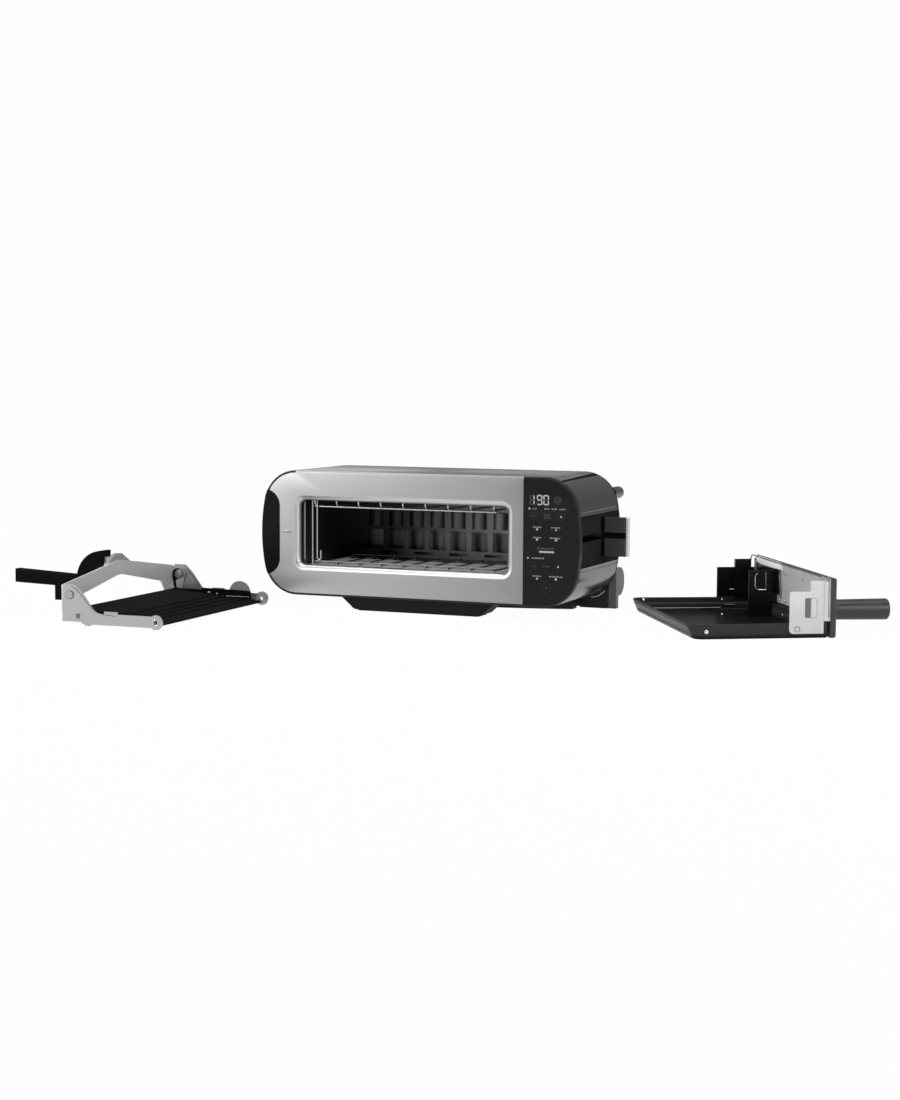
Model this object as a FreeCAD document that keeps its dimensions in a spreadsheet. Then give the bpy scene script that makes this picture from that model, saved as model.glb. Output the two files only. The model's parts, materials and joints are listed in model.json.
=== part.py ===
import FreeCAD, Part
import math
import operator
import os

import Sketcher
from FreeCAD import Placement, Rotation, Vector

# A counter-top toaster grill that lies in its grill position, with its press insert
# standing to the left and its tray insert to the right. Lengths are millimetres.
# X runs to the right along the front, Y runs away from the viewer and Z is up. The
# origin is on the worktop, below the middle of the case.
# Each insert is drawn in a frame of its own: its X runs along the way it slides, its Y
# runs from its near side to its far side. Its two place cells and its turn cell stand it.

doc = FreeCAD.newDocument("ToasterGrill")
sheet = doc.addObject("Spreadsheet::Sheet", "Sizes")

SIZES = (
    # The case of the main unit
    ("body_width", 440.0),
    ("body_depth", 158.0),
    ("body_height", 162.0),
    ("body_base", 16.5),
    ("end_bulge_radius", 230.0),
    ("corner_radius", 46.0),
    ("case_wall", 3.0),
    ("front_frame_depth", 8.0),
    ("front_plate", 3.0),
    ("rear_plate", 4.0),
    ("rim_width", 2.5),
    ("rim_round", 0.8),
    ("cover_sheet", 1.0),
    ("bottom_sheet", 1.5),
    ("ledge_width", 8.0),
    ("seam_width", 5.0),
    ("seam_depth", 0.9),
    ("fit_gap", 0.15),
    ("slide_gap", 0.4),
    # The steel bezel and the opening in it
    ("bezel_sheet", 1.5),
    ("opening_left_margin", 53.5),
    ("opening_right_margin", 97.4),
    ("opening_low", 56.5),
    ("opening_high", 139.8),
    ("opening_corner", 7.0),
    ("lip_roll", 6.0),
    ("lip_depth", 8.0),
    ("lip_fillet", 7.4),
    ("dash_margin", 31.0),
    ("dash_length", 13.0),
    ("dash_height", 4.0),
    ("dash_depth", 0.6),
    ("panel_width", 75.0),
    ("panel_proud", 0.4),
    ("grip_reach", 25.8),
    ("grip_half_height", 55.5),
    ("grip_corner", 20.0),
    ("grip_proud", 0.8),
    ("grip_depth", 3.0),
    ("window_margin", 14.0),
    ("window_width", 55.5),
    ("window_low", 127.0),
    ("window_high", 153.0),
    ("window_depth", 1.0),
    # The band and the slot in the right end cover
    ("band_low", 65.7),
    ("band_high", 129.9),
    ("band_depth", 1.5),
    ("groove_width", 1.4),
    ("groove_depth", 1.0),
    ("groove_offset", 3.6),
    ("slot_height", 8.6),
    ("slot_front", -69.0),
    ("slot_back", 40.0),
    # The toasting chamber
    ("liner_sheet", 1.0),
    ("liner_side_room", 6.2),
    ("liner_low", 44.0),
    ("liner_high", 152.0),
    ("liner_back", 62.0),
    ("frame_plate", 1.2),
    ("guide_window", 23.0),
    ("guide_window_low", 70.0),
    ("guide_window_high", 94.0),
    ("bulge_radius", 12.0),
    ("bulge_proud", 6.0),
    ("bulge_low", 99.0),
    ("bulge_high", 121.0),
    ("guide_first", 45.2),
    ("guide_pitch", 30.2),
    ("wire_margin", 18.3),
    ("wire_end_margin", 21.2),
    ("wire_radius", 1.1),
    ("cross_wire_radius", 1.3),
    ("wire_bend", 4.0),
    ("upper_wire", 134.0),
    ("lower_wire", 58.0),
    ("wire_back", 56.0),
    ("heater_radius", 3.0),
    ("heater_wall_gap", 5.5),
    ("heater_first", -38.0),
    ("heater_pitch", 38.0),
    ("holder_length", 7.0),
    ("holder_width", 12.0),
    ("rest_bar_radius", 1.0),
    ("rest_bar_y", -66.1),
    ("rest_hook_margin", 20.4),
    ("rest_hook_low", 62.5),
    ("rest_hook_top", 75.0),
    ("rest_bar_pitch", 6.6),
    # The lever and its carriage
    ("lever_y", 13.5),
    ("lever_z", 102.0),
    ("stem_width", 6.0),
    ("stem_height", 6.0),
    ("comb_y", 48.0),
    ("comb_sheet", 1.5),
    ("comb_low", 60.0),
    ("comb_bar", 10.0),
    ("comb_slot_length", 26.0),
    ("comb_slot_height", 3.6),
    ("comb_slot_pitch", 50.0),
    ("comb_offset", 6.2),
    ("finger_top", 95.0),
    ("finger_width", 7.0),
    ("rod_margin", 69.0),
    ("rod_radius", 2.5),
    ("rod_spread", 11.0),
    ("shaft_gap", 0.05),
    ("block_length", 16.0),
    ("block_width", 20.0),
    ("block_height", 34.0),
    ("knob_gap", 0.8),
    ("knob_width", 29.4),
    ("knob_depth", 9.0),
    ("knob_low", 75.5),
    ("knob_high", 125.0),
    ("knob_round", 1.6),
    ("knob_groove", 7.6),
    ("cap_thickness", 2.4),
    # The crumb tray
    ("crumb_low", 48.5),
    ("crumb_high", 146.5),
    ("crumb_front", 64.6),
    ("crumb_right", 118.0),
    ("crumb_sheet", 1.0),
    ("rail_thickness", 2.4),
    ("rail_lip", 3.0),
    # The feet
    ("foot_margin", 115.0),
    ("foot_slope", 14.0),
    ("foot_front", -77.2),
    ("foot_back", -42.0),
    ("pad_thickness", 1.5),
    ("rear_foot_width", 44.0),
    ("rear_foot_margin", 15.0),
    ("rear_foot_depth", 19.0),
    ("rear_foot_height", 34.0),
    ("lobe_thickness", 10.0),
    ("lobe_radius", 18.5),
    ("lobe_z", 35.0),
    ("lobe_leg", 10.0),
    ("skirt_radius", 500.0),
    ("skirt_margin", 53.0),
    ("skirt_end", 46.5),
    ("skirt_back", 62.0),
    ("skirt_low", 1.0),
    ("base_reach", 34.0),
    ("bumper_margin", 14.0),
    ("bumper_z", 150.5),
    ("bumper_radius", 8.0),
    # The press insert
    ("press_x", -214.8),
    ("press_y", -356.3),
    ("press_turn", 1.65),
    ("press_width", 280.0),
    ("press_plate", 2.0),
    ("pivot_x", -118.6),
    ("pivot_z", 36.8),
    ("pivot_radius", 3.0),
    ("pivot_head", 4.6),
    ("pivot_inner_head", 6.0),
    ("heel_x", -129.5),
    ("heel_z", 4.3),
    ("boot_top", 49.2),
    ("boot_top_right", -111.5),
    ("boot_knee_x", -101.6),
    ("boot_knee_z", 39.6),
    ("arm_low", 1.8),
    ("arm_high", 15.4),
    ("arm_root", -83.4),
    ("arm_fillet", 16.0),
    ("roller_z", 8.8),
    ("roller_radius", 8.8),
    ("roller_width", 2.6),
    ("roller_pin", 4.2),
    ("roller_bore", 2.9),
    ("ear_x", -31.0),
    ("ear_radius", 15.0),
    ("yoke_x", -132.0),
    ("yoke_sheet", 2.0),
    ("yoke_side_gap", 1.0),
    ("yoke_end_top", 48.0),
    ("yoke_peak", 67.0),
    ("yoke_bar", 18.4),
    ("yoke_leg", 21.0),
    ("yoke_leg_low", 16.0),
    ("saddle_depth", 5.0),
    ("saddle_peak", 74.0),
    ("saddle_half", 29.0),
    ("tongue_half", 6.0),
    ("tongue_low", 62.0),
    ("tongue_high", 70.0),
    ("hinge_pin_x", -123.5),
    ("hinge_pin_z", 9.4),
    ("hinge_pin_radius", 2.0),
    ("plate_gap", 1.0),
    ("plate_back", -127.0),
    ("plate_front", 3.0),
    ("plate_back_top", 17.4),
    ("plate_front_top", 6.2),
    ("plate_thickness", 2.2),
    ("plate_wall", 2.0),
    ("plate_wall_top", 17.8),
    ("plate_wall_low", 5.5),
    ("plate_wall_front", -14.0),
    ("rib_height", 1.2),
    ("rib_width", 3.0),
    ("rib_pitch", 14.0),
    ("rib_first", -62.0),
    ("lower_plate_z", 2.0),
    ("lower_plate_sheet", 1.2),
    ("lower_plate_back", -104.0),
    ("lower_plate_front", -6.0),
    ("grip_end", -281.5),
    ("grip_end_low", 32.5),
    ("grip_end_high", 50.1),
    ("grip_root_top", 45.5),
    ("grip_root_low", 30.5),
    ("grip_width", 20.0),
    ("neck_x", -151.0),
    ("neck_z", 41.0),
    ("neck_outer", 37.0),
    ("neck_inner", 18.0),
    ("neck_tip", 12.5),
    ("stub_x", -220.3),
    ("stub_width", 11.7),
    ("stub_low", 12.5),
    ("grip_round", 5.0),
    # The tray insert
    ("tray_x", 531.3),
    ("tray_y", -88.9),
    ("tray_turn", 31.2),
    ("tray_width", 282.0),
    ("tray_length", 166.5),
    ("tray_height", 17.8),
    ("tray_corner", 12.0),
    ("tray_flare", 7.0),
    ("tray_spread", 5.5),
    ("tray_sheet", 1.5),
    ("tray_step", 3.0),
    ("tray_step_z", 10.0),
    ("bracket_sheet", 1.4),
    ("recess_depth", 0.9),
    ("bracket_back", -48.0),
    ("bracket_front", -6.5),
    ("bracket_low", 5.4),
    ("bracket_high", 54.8),
    ("bracket_tab_back", -23.0),
    ("bracket_tab_top", 67.3),
    ("bracket_chamfer", 7.2),
    ("slot_back_x", -29.8),
    ("slot_split_x", -22.4),
    ("slot_front_x", -14.8),
    ("slot_low_z", 23.9),
    ("slot_high_z", 47.5),
    ("cheek_back", -56.0),
    ("cheek_front", -25.0),
    ("cheek_top", 56.5),
    ("cheek_slot_back", -38.0),
    ("cheek_slot_width", 11.0),
    ("post_back", -33.0),
    ("post_front", -12.0),
    ("post_top", 67.0),
    ("inner_cheek_in", 82.0),
    ("inner_cheek_back", -37.5),
    ("inner_cheek_top", 60.0),
    ("inner_slot_low", 34.0),
    ("inner_slot_high", 56.0),
    ("end_plate_low", 20.0),
    ("end_plate_top", 69.6),
    ("end_plate_sheet", 1.2),
    ("cover_thickness", 8.0),
    ("cover_low", 0.3),
    ("cover_top", 70.4),
    ("far_drop_y", 190.0),
    ("far_drop", 3.6),
    ("cover_round", 4.0),
    ("guard_wire_radius", 0.9),
    ("guard_wire_x", -0.9),
    ("guard_wire_z", 71.6),
    ("guard_wire_spread", 7.0),
    ("guard_overhang", 8.0),
    ("handle_z", 16.3),
    ("handle_end", 123.2),
    ("handle_root_radius", 12.2),
    ("handle_end_radius", 13.2),
    ("handle_round", 3.0),
    ("rivet_radius", 2.4),
    ("rivet_head", 1.2),
)

OPERATORS = {"+": operator.add, "-": operator.sub, "*": operator.mul, "/": operator.truediv}


class Size:
    """A number that keeps the formula, in the sheet's cells, that it comes from."""

    def __init__(self, value, text):
        self.value = value
        self.text = text

    def __add__(self, other):
        return combine(self, "+", other)

    def __radd__(self, other):
        return combine(other, "+", self)

    def __sub__(self, other):
        return combine(self, "-", other)

    def __rsub__(self, other):
        return combine(other, "-", self)

    def __mul__(self, other):
        return combine(self, "*", other)

    def __rmul__(self, other):
        return combine(other, "*", self)

    def __truediv__(self, other):
        return combine(self, "/", other)

    def __neg__(self):
        return combine(-1, "*", self)


def as_size(number):
    return number if isinstance(number, Size) else Size(float(number), f"({float(number)})")


def combine(left, sign, right):
    left, right = as_size(left), as_size(right)
    return Size(OPERATORS[sign](left.value, right.value), f"({left.text} {sign} {right.text})")


def root(size):
    return Size(math.sqrt(size.value), f"sqrt({size.text})")


class Cells:
    """Reads a cell of the sheet by its alias, as a Size."""

    def __getattr__(self, name):
        return Size(float(sheet.get(name)), f"Sizes.{name}")


def fill_sheet():
    for row, (name, number) in enumerate(SIZES, start=1):
        sheet.set(f"A{row}", name)
        sheet.set(f"B{row}", str(number))
        sheet.setAlias(f"B{row}", name)
    doc.recompute()


def bind(thing, path, size):
    """Ties one property of a document object to its formula."""
    thing.setExpression(path, as_size(size).text)


fill_sheet()
cell = Cells()

# The plane's own axes are (X, Z) for XZ, (Y, Z) for YZ and (X, Y) for XY. The normal of
# XZ points along -Y, so levels and directions along Y change sign there.
NORMAL_SIGN = {"XY": 1, "YZ": 1, "XZ": -1}
parts = []


def new_body(label):
    body = doc.addObject("PartDesign::Body", label)
    body.Label = label
    parts.append(body)
    return body


def origin_part(body, role):
    return next(item for item in body.Origin.OriginFeatures if item.Role == role)


def arc_middle(start, end, radius):
    """The point halfway along an arc. A positive radius has its centre on the left."""
    run = end - start
    half = run.Length / 2
    left = Vector(-run.y, run.x, 0).normalize() * math.copysign(1, radius)
    centre = (start + end) / 2 + left * math.sqrt(max(radius * radius - half * half, 0))
    return centre - left * abs(radius)


def draw(body, plane, level, loops, origin=(0, 0)):
    """A sketch on one of the body's planes. Each loop is a list of corners (a, b), or
    (a, b, radius) where the edge that leaves the corner is an arc, or one circle."""
    sketch = body.newObject("Sketcher::SketchObject", f"{body.Label}_sketch")
    sketch.AttachmentSupport = (origin_part(body, f"{plane}_Plane"), "")
    sketch.MapMode = "FlatFace"
    bind(sketch, ".AttachmentOffset.Base.z", level * NORMAL_SIGN[plane])
    bind(sketch, ".AttachmentOffset.Base.x", origin[0])
    bind(sketch, ".AttachmentOffset.Base.y", origin[1])
    for loop in loops:
        if loop[0] == "circle":
            draw_circle(sketch, *loop[1:])
        else:
            draw_loop(sketch, loop)
    return sketch


def pin_point(sketch, edge, end, a, b):
    """Holds one point of an edge at its two coordinates from the sketch's origin."""
    for kind, size in (("DistanceX", as_size(a)), ("DistanceY", as_size(b))):
        number = sketch.addConstraint(Sketcher.Constraint(kind, -1, 1, edge, end, size.value))
        bind(sketch, f"Constraints[{number}]", size)


def hold_radius(sketch, edge, size):
    size = as_size(size)
    number = sketch.addConstraint(Sketcher.Constraint("Radius", edge, size.value))
    bind(sketch, f"Constraints[{number}]", size)


def draw_circle(sketch, a, b, radius):
    centre = Vector(as_size(a).value, as_size(b).value, 0)
    circle = Part.Circle(centre, Vector(0, 0, 1), as_size(radius).value)
    edge = sketch.addGeometry(circle, False)
    pin_point(sketch, edge, 3, a, b)
    hold_radius(sketch, edge, radius)


def draw_loop(sketch, loop, closed=True):
    corners = [Vector(as_size(c[0]).value, as_size(c[1]).value, 0) for c in loop]
    edges = []
    spans = len(loop) if closed else len(loop) - 1
    for index in range(spans):
        start = corners[index]
        end = corners[(index + 1) % len(loop)]
        radius = loop[index][2] if len(loop[index]) > 2 else None
        if radius is None:
            edge = sketch.addGeometry(Part.LineSegment(start, end), False)
            edges.append((edge, 1, 2))
        else:
            bend = as_size(radius).value
            middle = arc_middle(start, end, bend)
            edge = sketch.addGeometry(Part.Arc(start, middle, end), False)
            edges.append((edge, 1, 2) if bend > 0 else (edge, 2, 1))
            hold_radius(sketch, edge, radius if bend > 0 else -radius)
    for index, (edge, first, last) in enumerate(edges):
        pin_point(sketch, edge, first, *loop[index][:2])
        if closed or index + 1 < spans:
            following, next_first, _ = edges[(index + 1) % spans]
            sketch.addConstraint(
                Sketcher.Constraint("Coincident", edge, last, following, next_first))
        else:
            pin_point(sketch, edge, last, *loop[-1][:2])


def pad(body, plane, level, length, *loops):
    """Adds the loops' area from the level along the plane's positive axis."""
    feature = body.newObject("PartDesign::Pad", f"{body.Label}_add")
    feature.Profile = draw(body, plane, level, loops)
    bind(feature, "Length", length)
    feature.Reversed = plane == "XZ"
    return feature


def pocket(body, plane, level, length, *loops):
    """Cuts the loops' area from the level along the plane's positive axis."""
    feature = body.newObject("PartDesign::Pocket", f"{body.Label}_pocket")
    feature.Profile = draw(body, plane, level, loops)
    bind(feature, "Length", length)
    feature.Reversed = plane != "XZ"
    return feature


def spin(body, plane, level, origin, loop):
    """Revolves a loop about the sketch's horizontal axis through the origin given."""
    sketch = draw(body, plane, level, [loop], origin)
    feature = body.newObject("PartDesign::Revolution", f"{body.Label}_spin")
    feature.Profile = sketch
    feature.ReferenceAxis = (sketch, ["H_Axis"])
    feature.Angle = 360
    return feature


def repeat(body, features, axis, length, count):
    """Copies features along one of the body's axes, over the whole length."""
    pattern = body.newObject("PartDesign::LinearPattern", f"{body.Label}_row")
    pattern.Originals = features
    pattern.Direction = (origin_part(body, f"{axis}_Axis"), [""])
    bind(pattern, "Length", length)
    pattern.Occurrences = count
    body.Tip = pattern
    return pattern


def bent_wire(body, plane, level, path, radius):
    """A round wire along an open path of lines and arcs that starts along Z."""
    spine = body.newObject("Sketcher::SketchObject", f"{body.Label}_path")
    spine.AttachmentSupport = (origin_part(body, f"{plane}_Plane"), "")
    spine.MapMode = "FlatFace"
    bind(spine, ".AttachmentOffset.Base.z", level * NORMAL_SIGN[plane])
    draw_loop(spine, path, closed=False)
    along, start = path[0][:2]
    centre = (level, along) if plane == "YZ" else (along, level)
    ring = draw(body, "XY", start, [("circle", *centre, radius)])
    feature = body.newObject("PartDesign::AdditivePipe", f"{body.Label}_pipe")
    feature.Profile = ring
    feature.Spine = (spine, [f"Edge{number + 1}" for number in range(len(path) - 1)])
    return feature


def round_edges(body, radius, wanted):
    """Fillets the edges of the body's last shape for which the test is true."""
    doc.recompute()
    base = body.Tip
    names = [f"Edge{number}" for number, edge in enumerate(base.Shape.Edges, start=1)
             if wanted(edge)]
    feature = body.newObject("PartDesign::Fillet", f"{body.Label}_fillet")
    feature.Base = (base, names)
    bind(feature, "Radius", radius)
    return feature


def runs_along(edge, axis):
    """True for a straight edge that lies along the axis given as a vector."""
    if edge.Curve.TypeId != "Part::GeomLine":
        return False
    return abs(abs(edge.Curve.Direction.dot(axis)) - 1) < 1e-6


def flat_at(edge, name, size, slack=0.01):
    """True for an edge whose two bounds on one axis both lie at the place given."""
    box = edge.BoundBox
    low, high = {"x": (box.XMin, box.XMax), "y": (box.YMin, box.YMax),
                 "z": (box.ZMin, box.ZMax)}[name]
    return abs(low - size.value) < slack and abs(high - size.value) < slack


def box_loop(a_low, a_high, b_low, b_high):
    return [(a_low, b_low), (a_high, b_low), (a_high, b_high), (a_low, b_high)]


def round_loop(a_low, a_high, b_low, b_high, radius):
    """A rectangle with round corners, anticlockwise from its lower left."""
    return [(a_low + radius, b_low), (a_high - radius, b_low, radius),
            (a_high, b_low + radius), (a_high, b_high - radius, radius),
            (a_high - radius, b_high), (a_low + radius, b_high, radius),
            (a_low, b_high - radius), (a_low, b_low + radius, radius)]


# The outline of the case, seen from the front: flat top and bottom, round corners and
# ends that bulge on a large arc. An inset draws the same outline that much further in.
half_width = cell.body_width / 2
front = -cell.body_depth / 2
back = cell.body_depth / 2
case_top = cell.body_base + cell.body_height
case_middle = cell.body_base + cell.body_height / 2
end_centre = half_width - cell.end_bulge_radius
corner_span = cell.end_bulge_radius - cell.corner_radius
corner_lift = cell.body_height / 2 - cell.corner_radius
corner_x = end_centre + root(corner_span * corner_span - corner_lift * corner_lift)
lean_across = (corner_x - end_centre) / corner_span
lean_up = corner_lift / corner_span
frame_back = front + cell.front_frame_depth
rear_front = back - cell.rear_plate
lever_front = cell.lever_y - cell.stem_width / 2
lever_back = cell.lever_y + cell.stem_width / 2
opening_left = cell.opening_left_margin - half_width
opening_right = half_width - cell.opening_right_margin
panel_left = half_width - cell.panel_width
window_right = half_width - cell.window_margin
window_left = window_right - cell.window_width
rod_x = half_width - cell.rod_margin
knob_inner = half_width + cell.knob_gap
liner_left = opening_left - cell.liner_side_room
liner_right = opening_right + cell.liner_side_room
wire_first = opening_left + cell.wire_margin
wire_pitch = (opening_right - cell.wire_end_margin - wire_first) / 8
window_first = opening_left + cell.guide_first
bar_first = window_first + cell.guide_pitch / 2
rest_hook_x = opening_left + cell.rest_hook_margin
rear_foot_outer = half_width - cell.rear_foot_margin
rear_foot_inner = rear_foot_outer - cell.rear_foot_width


def end_corner(inset, upper, side=1):
    """Where the round corner meets the bulged end."""
    reach = cell.end_bulge_radius - inset
    rise = lean_up * reach
    height = case_middle + rise if upper else case_middle - rise
    return side * (end_centre + lean_across * reach), height


def end_surface(inset, height):
    """The X of the bulged right end at one height."""
    reach = cell.end_bulge_radius - inset
    rise = height - case_middle
    return end_centre + root(reach * reach - rise * rise)


def case_outline(inset):
    low = cell.body_base + inset
    high = case_top - inset
    corner = cell.corner_radius - inset
    bulge = cell.end_bulge_radius - inset
    return [(-corner_x, low), (corner_x, low, corner),
            (*end_corner(inset, False), bulge), (*end_corner(inset, True), corner),
            (corner_x, high), (-corner_x, high, corner),
            (*end_corner(inset, True, -1), bulge), (*end_corner(inset, False, -1), corner)]


def end_outline(side, inner_x, inset, top_inset, bottom_inset):
    """The part of the outline beyond inner_x, as a closed area."""
    low = cell.body_base + bottom_inset
    high = case_top - top_inset
    corner = cell.corner_radius - inset
    bulge = cell.end_bulge_radius - inset
    return [(side * inner_x, low), (side * corner_x, low, side * corner),
            (*end_corner(inset, False, side), side * bulge),
            (*end_corner(inset, True, side), side * corner),
            (side * corner_x, high), (side * inner_x, high)]


def end_section(side):
    """The wall of an end cover, with a ledge that carries the top and bottom sheets."""
    low = cell.body_base
    wall = cell.case_wall
    inner_x = corner_x - cell.ledge_width
    outer = [(inner_x, low + cell.bottom_sheet), (corner_x, low + cell.bottom_sheet),
             (corner_x, low, cell.corner_radius),
             (*end_corner(0, False), cell.end_bulge_radius),
             (*end_corner(0, True), cell.corner_radius),
             (corner_x, case_top), (corner_x, case_top - cell.cover_sheet),
             (inner_x, case_top - cell.cover_sheet)]
    inner = [(inner_x, case_top - wall),
             (corner_x, case_top - wall, wall - cell.corner_radius),
             (*end_corner(wall, True), wall - cell.end_bulge_radius),
             (*end_corner(wall, False), wall - cell.corner_radius),
             (corner_x, low + wall), (inner_x, low + wall)]
    return [(side * point[0], *point[1:2], *(side * bend for bend in point[2:]))
            for point in outer + inner]


def opening_loop(outset):
    return round_loop(opening_left - outset, opening_right + outset,
                      cell.opening_low - outset, cell.opening_high + outset,
                      cell.opening_corner + outset)


def grip_loop(outset):
    """The side grip: straight inner edge, round corners, outer edge on the outline."""
    high = case_middle + cell.grip_half_height + outset
    low = case_middle - cell.grip_half_height - outset
    rise = cell.grip_half_height + outset - corner_lift
    tip = -(corner_x + root(cell.corner_radius * cell.corner_radius - rise * rise))
    inner = cell.grip_reach - half_width + outset
    bend = cell.grip_corner
    return [(tip, low, bend * 1.12), (inner, low + bend), (inner, high - bend, bend * 1.12),
            (tip, high, cell.corner_radius), (*end_corner(0, True, -1), cell.end_bulge_radius),
            (*end_corner(0, False, -1), cell.corner_radius)]


def on_outline(edge):
    """True for an edge whose middle lies on the case's outline, not inside it."""
    middle = edge.valueAt((edge.FirstParameter + edge.LastParameter) / 2)
    low = cell.body_base.value
    inside = cell.rim_width.value * 0.5
    if abs(middle.x) <= corner_x.value:
        return middle.z < low + inside
    rise = middle.z - case_middle.value
    if abs(rise) < corner_lift.value * 1.02:
        return abs(middle.x) > end_surface(0, middle.z).value - inside
    side = corner_lift.value if rise > 0 else -corner_lift.value
    reach = math.hypot(abs(middle.x) - corner_x.value, rise - side)
    return reach > cell.corner_radius.value - inside


def front_frame():
    """The moulded frame that closes the front, with a rim round the bezel."""
    body = new_body("front_frame")
    depth = cell.front_frame_depth
    pad(body, "XZ", front, depth, case_outline(0))
    pocket(body, "XZ", front, cell.bezel_sheet, case_outline(cell.rim_width))
    ring = cell.lip_roll + cell.fit_gap
    pocket(body, "XZ", front + cell.bezel_sheet + cell.front_plate, depth,
           case_outline(cell.case_wall), opening_loop(ring + cell.front_plate))
    pocket(body, "XZ", front, depth, opening_loop(ring))
    pocket(body, "XZ", front, cell.grip_depth, grip_loop(cell.fit_gap))
    strip_low = case_top - cell.rim_width
    pocket(body, "XZ", front, cell.bezel_sheet,
           box_loop(-corner_x, panel_left, strip_low, case_top + 1))
    pocket(body, "XZ", front + cell.bezel_sheet, depth,
           box_loop(-corner_x, corner_x, case_top - cell.cover_sheet, case_top + 1))

    def at_rim(edge):
        box = edge.BoundBox
        outside = (box.XMax > half_width.value - 1 or box.XMin < 1 - half_width.value
                   or abs(box.ZMax - cell.body_base.value) < 0.05)
        corner = box.XMin > corner_x.value - 0.1 or box.XMax < 0.1 - corner_x.value
        return flat_at(edge, "y", front) and (outside or corner) and on_outline(edge)

    round_edges(body, cell.rim_round, at_rim)


def front_bezel():
    """The brushed steel front: one sheet with a rolled lip round the opening."""
    body = new_body("front_bezel")
    inset = cell.rim_width + cell.fit_gap
    pad(body, "XZ", front, cell.bezel_sheet, case_outline(inset))
    pad(body, "XZ", front, cell.bezel_sheet,
        box_loop(cell.fit_gap - corner_x, panel_left, case_middle, case_top))
    pad(body, "XZ", front, cell.lip_depth, opening_loop(cell.lip_roll))
    pocket(body, "XZ", front, cell.lip_depth, opening_loop(0))
    pocket(body, "XZ", front, cell.bezel_sheet,
           box_loop(panel_left, half_width + 1, cell.body_base - 1, case_top + 1))
    pocket(body, "XZ", front, cell.bezel_sheet, grip_loop(cell.fit_gap))
    dash = cell.dash_margin - half_width
    dash_low = cell.lever_z - cell.dash_height
    pocket(body, "XZ", front, cell.dash_depth,
           round_loop(dash, dash + cell.dash_length, dash_low,
                      dash_low + cell.dash_height, 1.9))

    def at_lip(edge):
        box = edge.BoundBox
        inside = (box.XMin > opening_left.value - 0.1
                  and box.XMax < opening_right.value + 0.1
                  and box.ZMin > cell.opening_low.value - 0.1
                  and box.ZMax < cell.opening_high.value + 0.1)
        return inside and flat_at(edge, "y", front)

    round_edges(body, cell.lip_fillet, at_lip)


def side_grip():
    body = new_body("side_grip")
    pad(body, "XZ", front - cell.grip_proud, cell.grip_depth + cell.grip_proud, grip_loop(0))
    edge_y = front - cell.grip_proud
    round_edges(body, cell.grip_proud * 0.75, lambda edge: flat_at(edge, "y", edge_y))


def control_panel():
    """The gloss panel with the window for the display let into it."""
    body = new_body("control_panel")
    inset = cell.rim_width + cell.fit_gap
    outline = end_outline(1, panel_left + cell.fit_gap, inset, inset, inset)
    pad(body, "XZ", front - cell.panel_proud, cell.bezel_sheet + cell.panel_proud, outline)
    window = round_loop(window_left, window_right, cell.window_low,
                        cell.window_high, 2)
    pocket(body, "XZ", front - cell.panel_proud, cell.window_depth, window)


def display_window():
    body = new_body("display_window")
    gap = cell.fit_gap
    pane = round_loop(window_left + gap, window_right - gap,
                      cell.window_low + gap, cell.window_high - gap, 2)
    pad(body, "XZ", front - cell.panel_proud, cell.window_depth, pane)


def control_board():
    """The circuit board behind the panel, on four standoffs, with its relays."""
    body = new_body("control_board")
    plate_back = front + cell.bezel_sheet + cell.front_plate
    standoff = 1.5
    board = 1.6
    board_left = rod_x + 12
    board_right = board_left + 41
    board_low = case_middle - 55
    board_high = case_middle + 55
    pad(body, "XZ", plate_back + standoff, board,
        box_loop(board_left, board_right, board_low, board_high))
    corners = [("circle", x, z, 2.5) for x in (board_left + 4, board_right - 4)
               for z in (board_low + 4, board_high - 4)]
    pad(body, "XZ", plate_back, standoff, *corners)
    relays = [box_loop(board_left + 6 + 16 * step, board_left + 18 + 16 * step,
                       board_low + 12, board_low + 30) for step in range(2)]
    pad(body, "XZ", plate_back + standoff + board, 7, *relays)
    chips = [box_loop(board_left + 10, board_left + 24, board_low + 44 + 22 * step,
                      board_low + 56 + 22 * step) for step in range(3)]
    pad(body, "XZ", plate_back + standoff + board, 2, *chips)


def top_cover():
    body = new_body("top_cover")
    edge = corner_x - cell.fit_gap
    start = front + cell.bezel_sheet
    pad(body, "XY", case_top - cell.cover_sheet, cell.cover_sheet,
        box_loop(-edge, edge, start, rear_front))
    flange_x = corner_x - cell.ledge_width - cell.cover_sheet - cell.fit_gap
    for side in (-1, 1):
        inner = side * flange_x
        outer = side * (flange_x - cell.cover_sheet)
        pad(body, "XZ", frame_back, rear_front - frame_back,
            box_loop(inner, outer, case_top - 6, case_top - cell.cover_sheet)
            if side < 0 else
            box_loop(outer, inner, case_top - 6, case_top - cell.cover_sheet))


def bottom_cover():
    """The underside, with two rows of air slots."""
    body = new_body("bottom_cover")
    edge = corner_x - cell.fit_gap
    pad(body, "XY", cell.body_base, cell.bottom_sheet,
        box_loop(-edge, edge, frame_back, rear_front))
    first = as_size(-121)
    rows = [round_loop(first - 2, first + 2, as_size(middle - 14), as_size(middle + 14), 1.8)
            for middle in (-10, 38)]
    slots = pocket(body, "XY", cell.body_base, cell.bottom_sheet, *rows)
    repeat(body, [slots], "X", as_size(242), 12)


def left_end_cover():
    body = new_body("left_end_cover")
    pad(body, "XZ", frame_back, rear_front - frame_back, end_section(-1))
    gap = cell.slide_gap
    pocket(body, "YZ", -half_width - 1, cell.case_wall * 4,
           box_loop(cell.crumb_front - gap, rear_front, cell.crumb_low - gap,
                    cell.crumb_high + gap))
    seam = box_loop(-corner_x - cell.seam_width, -corner_x, case_top - cell.seam_depth,
                    case_top + 1)
    pocket(body, "XZ", frame_back, rear_front - frame_back, seam)


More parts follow.
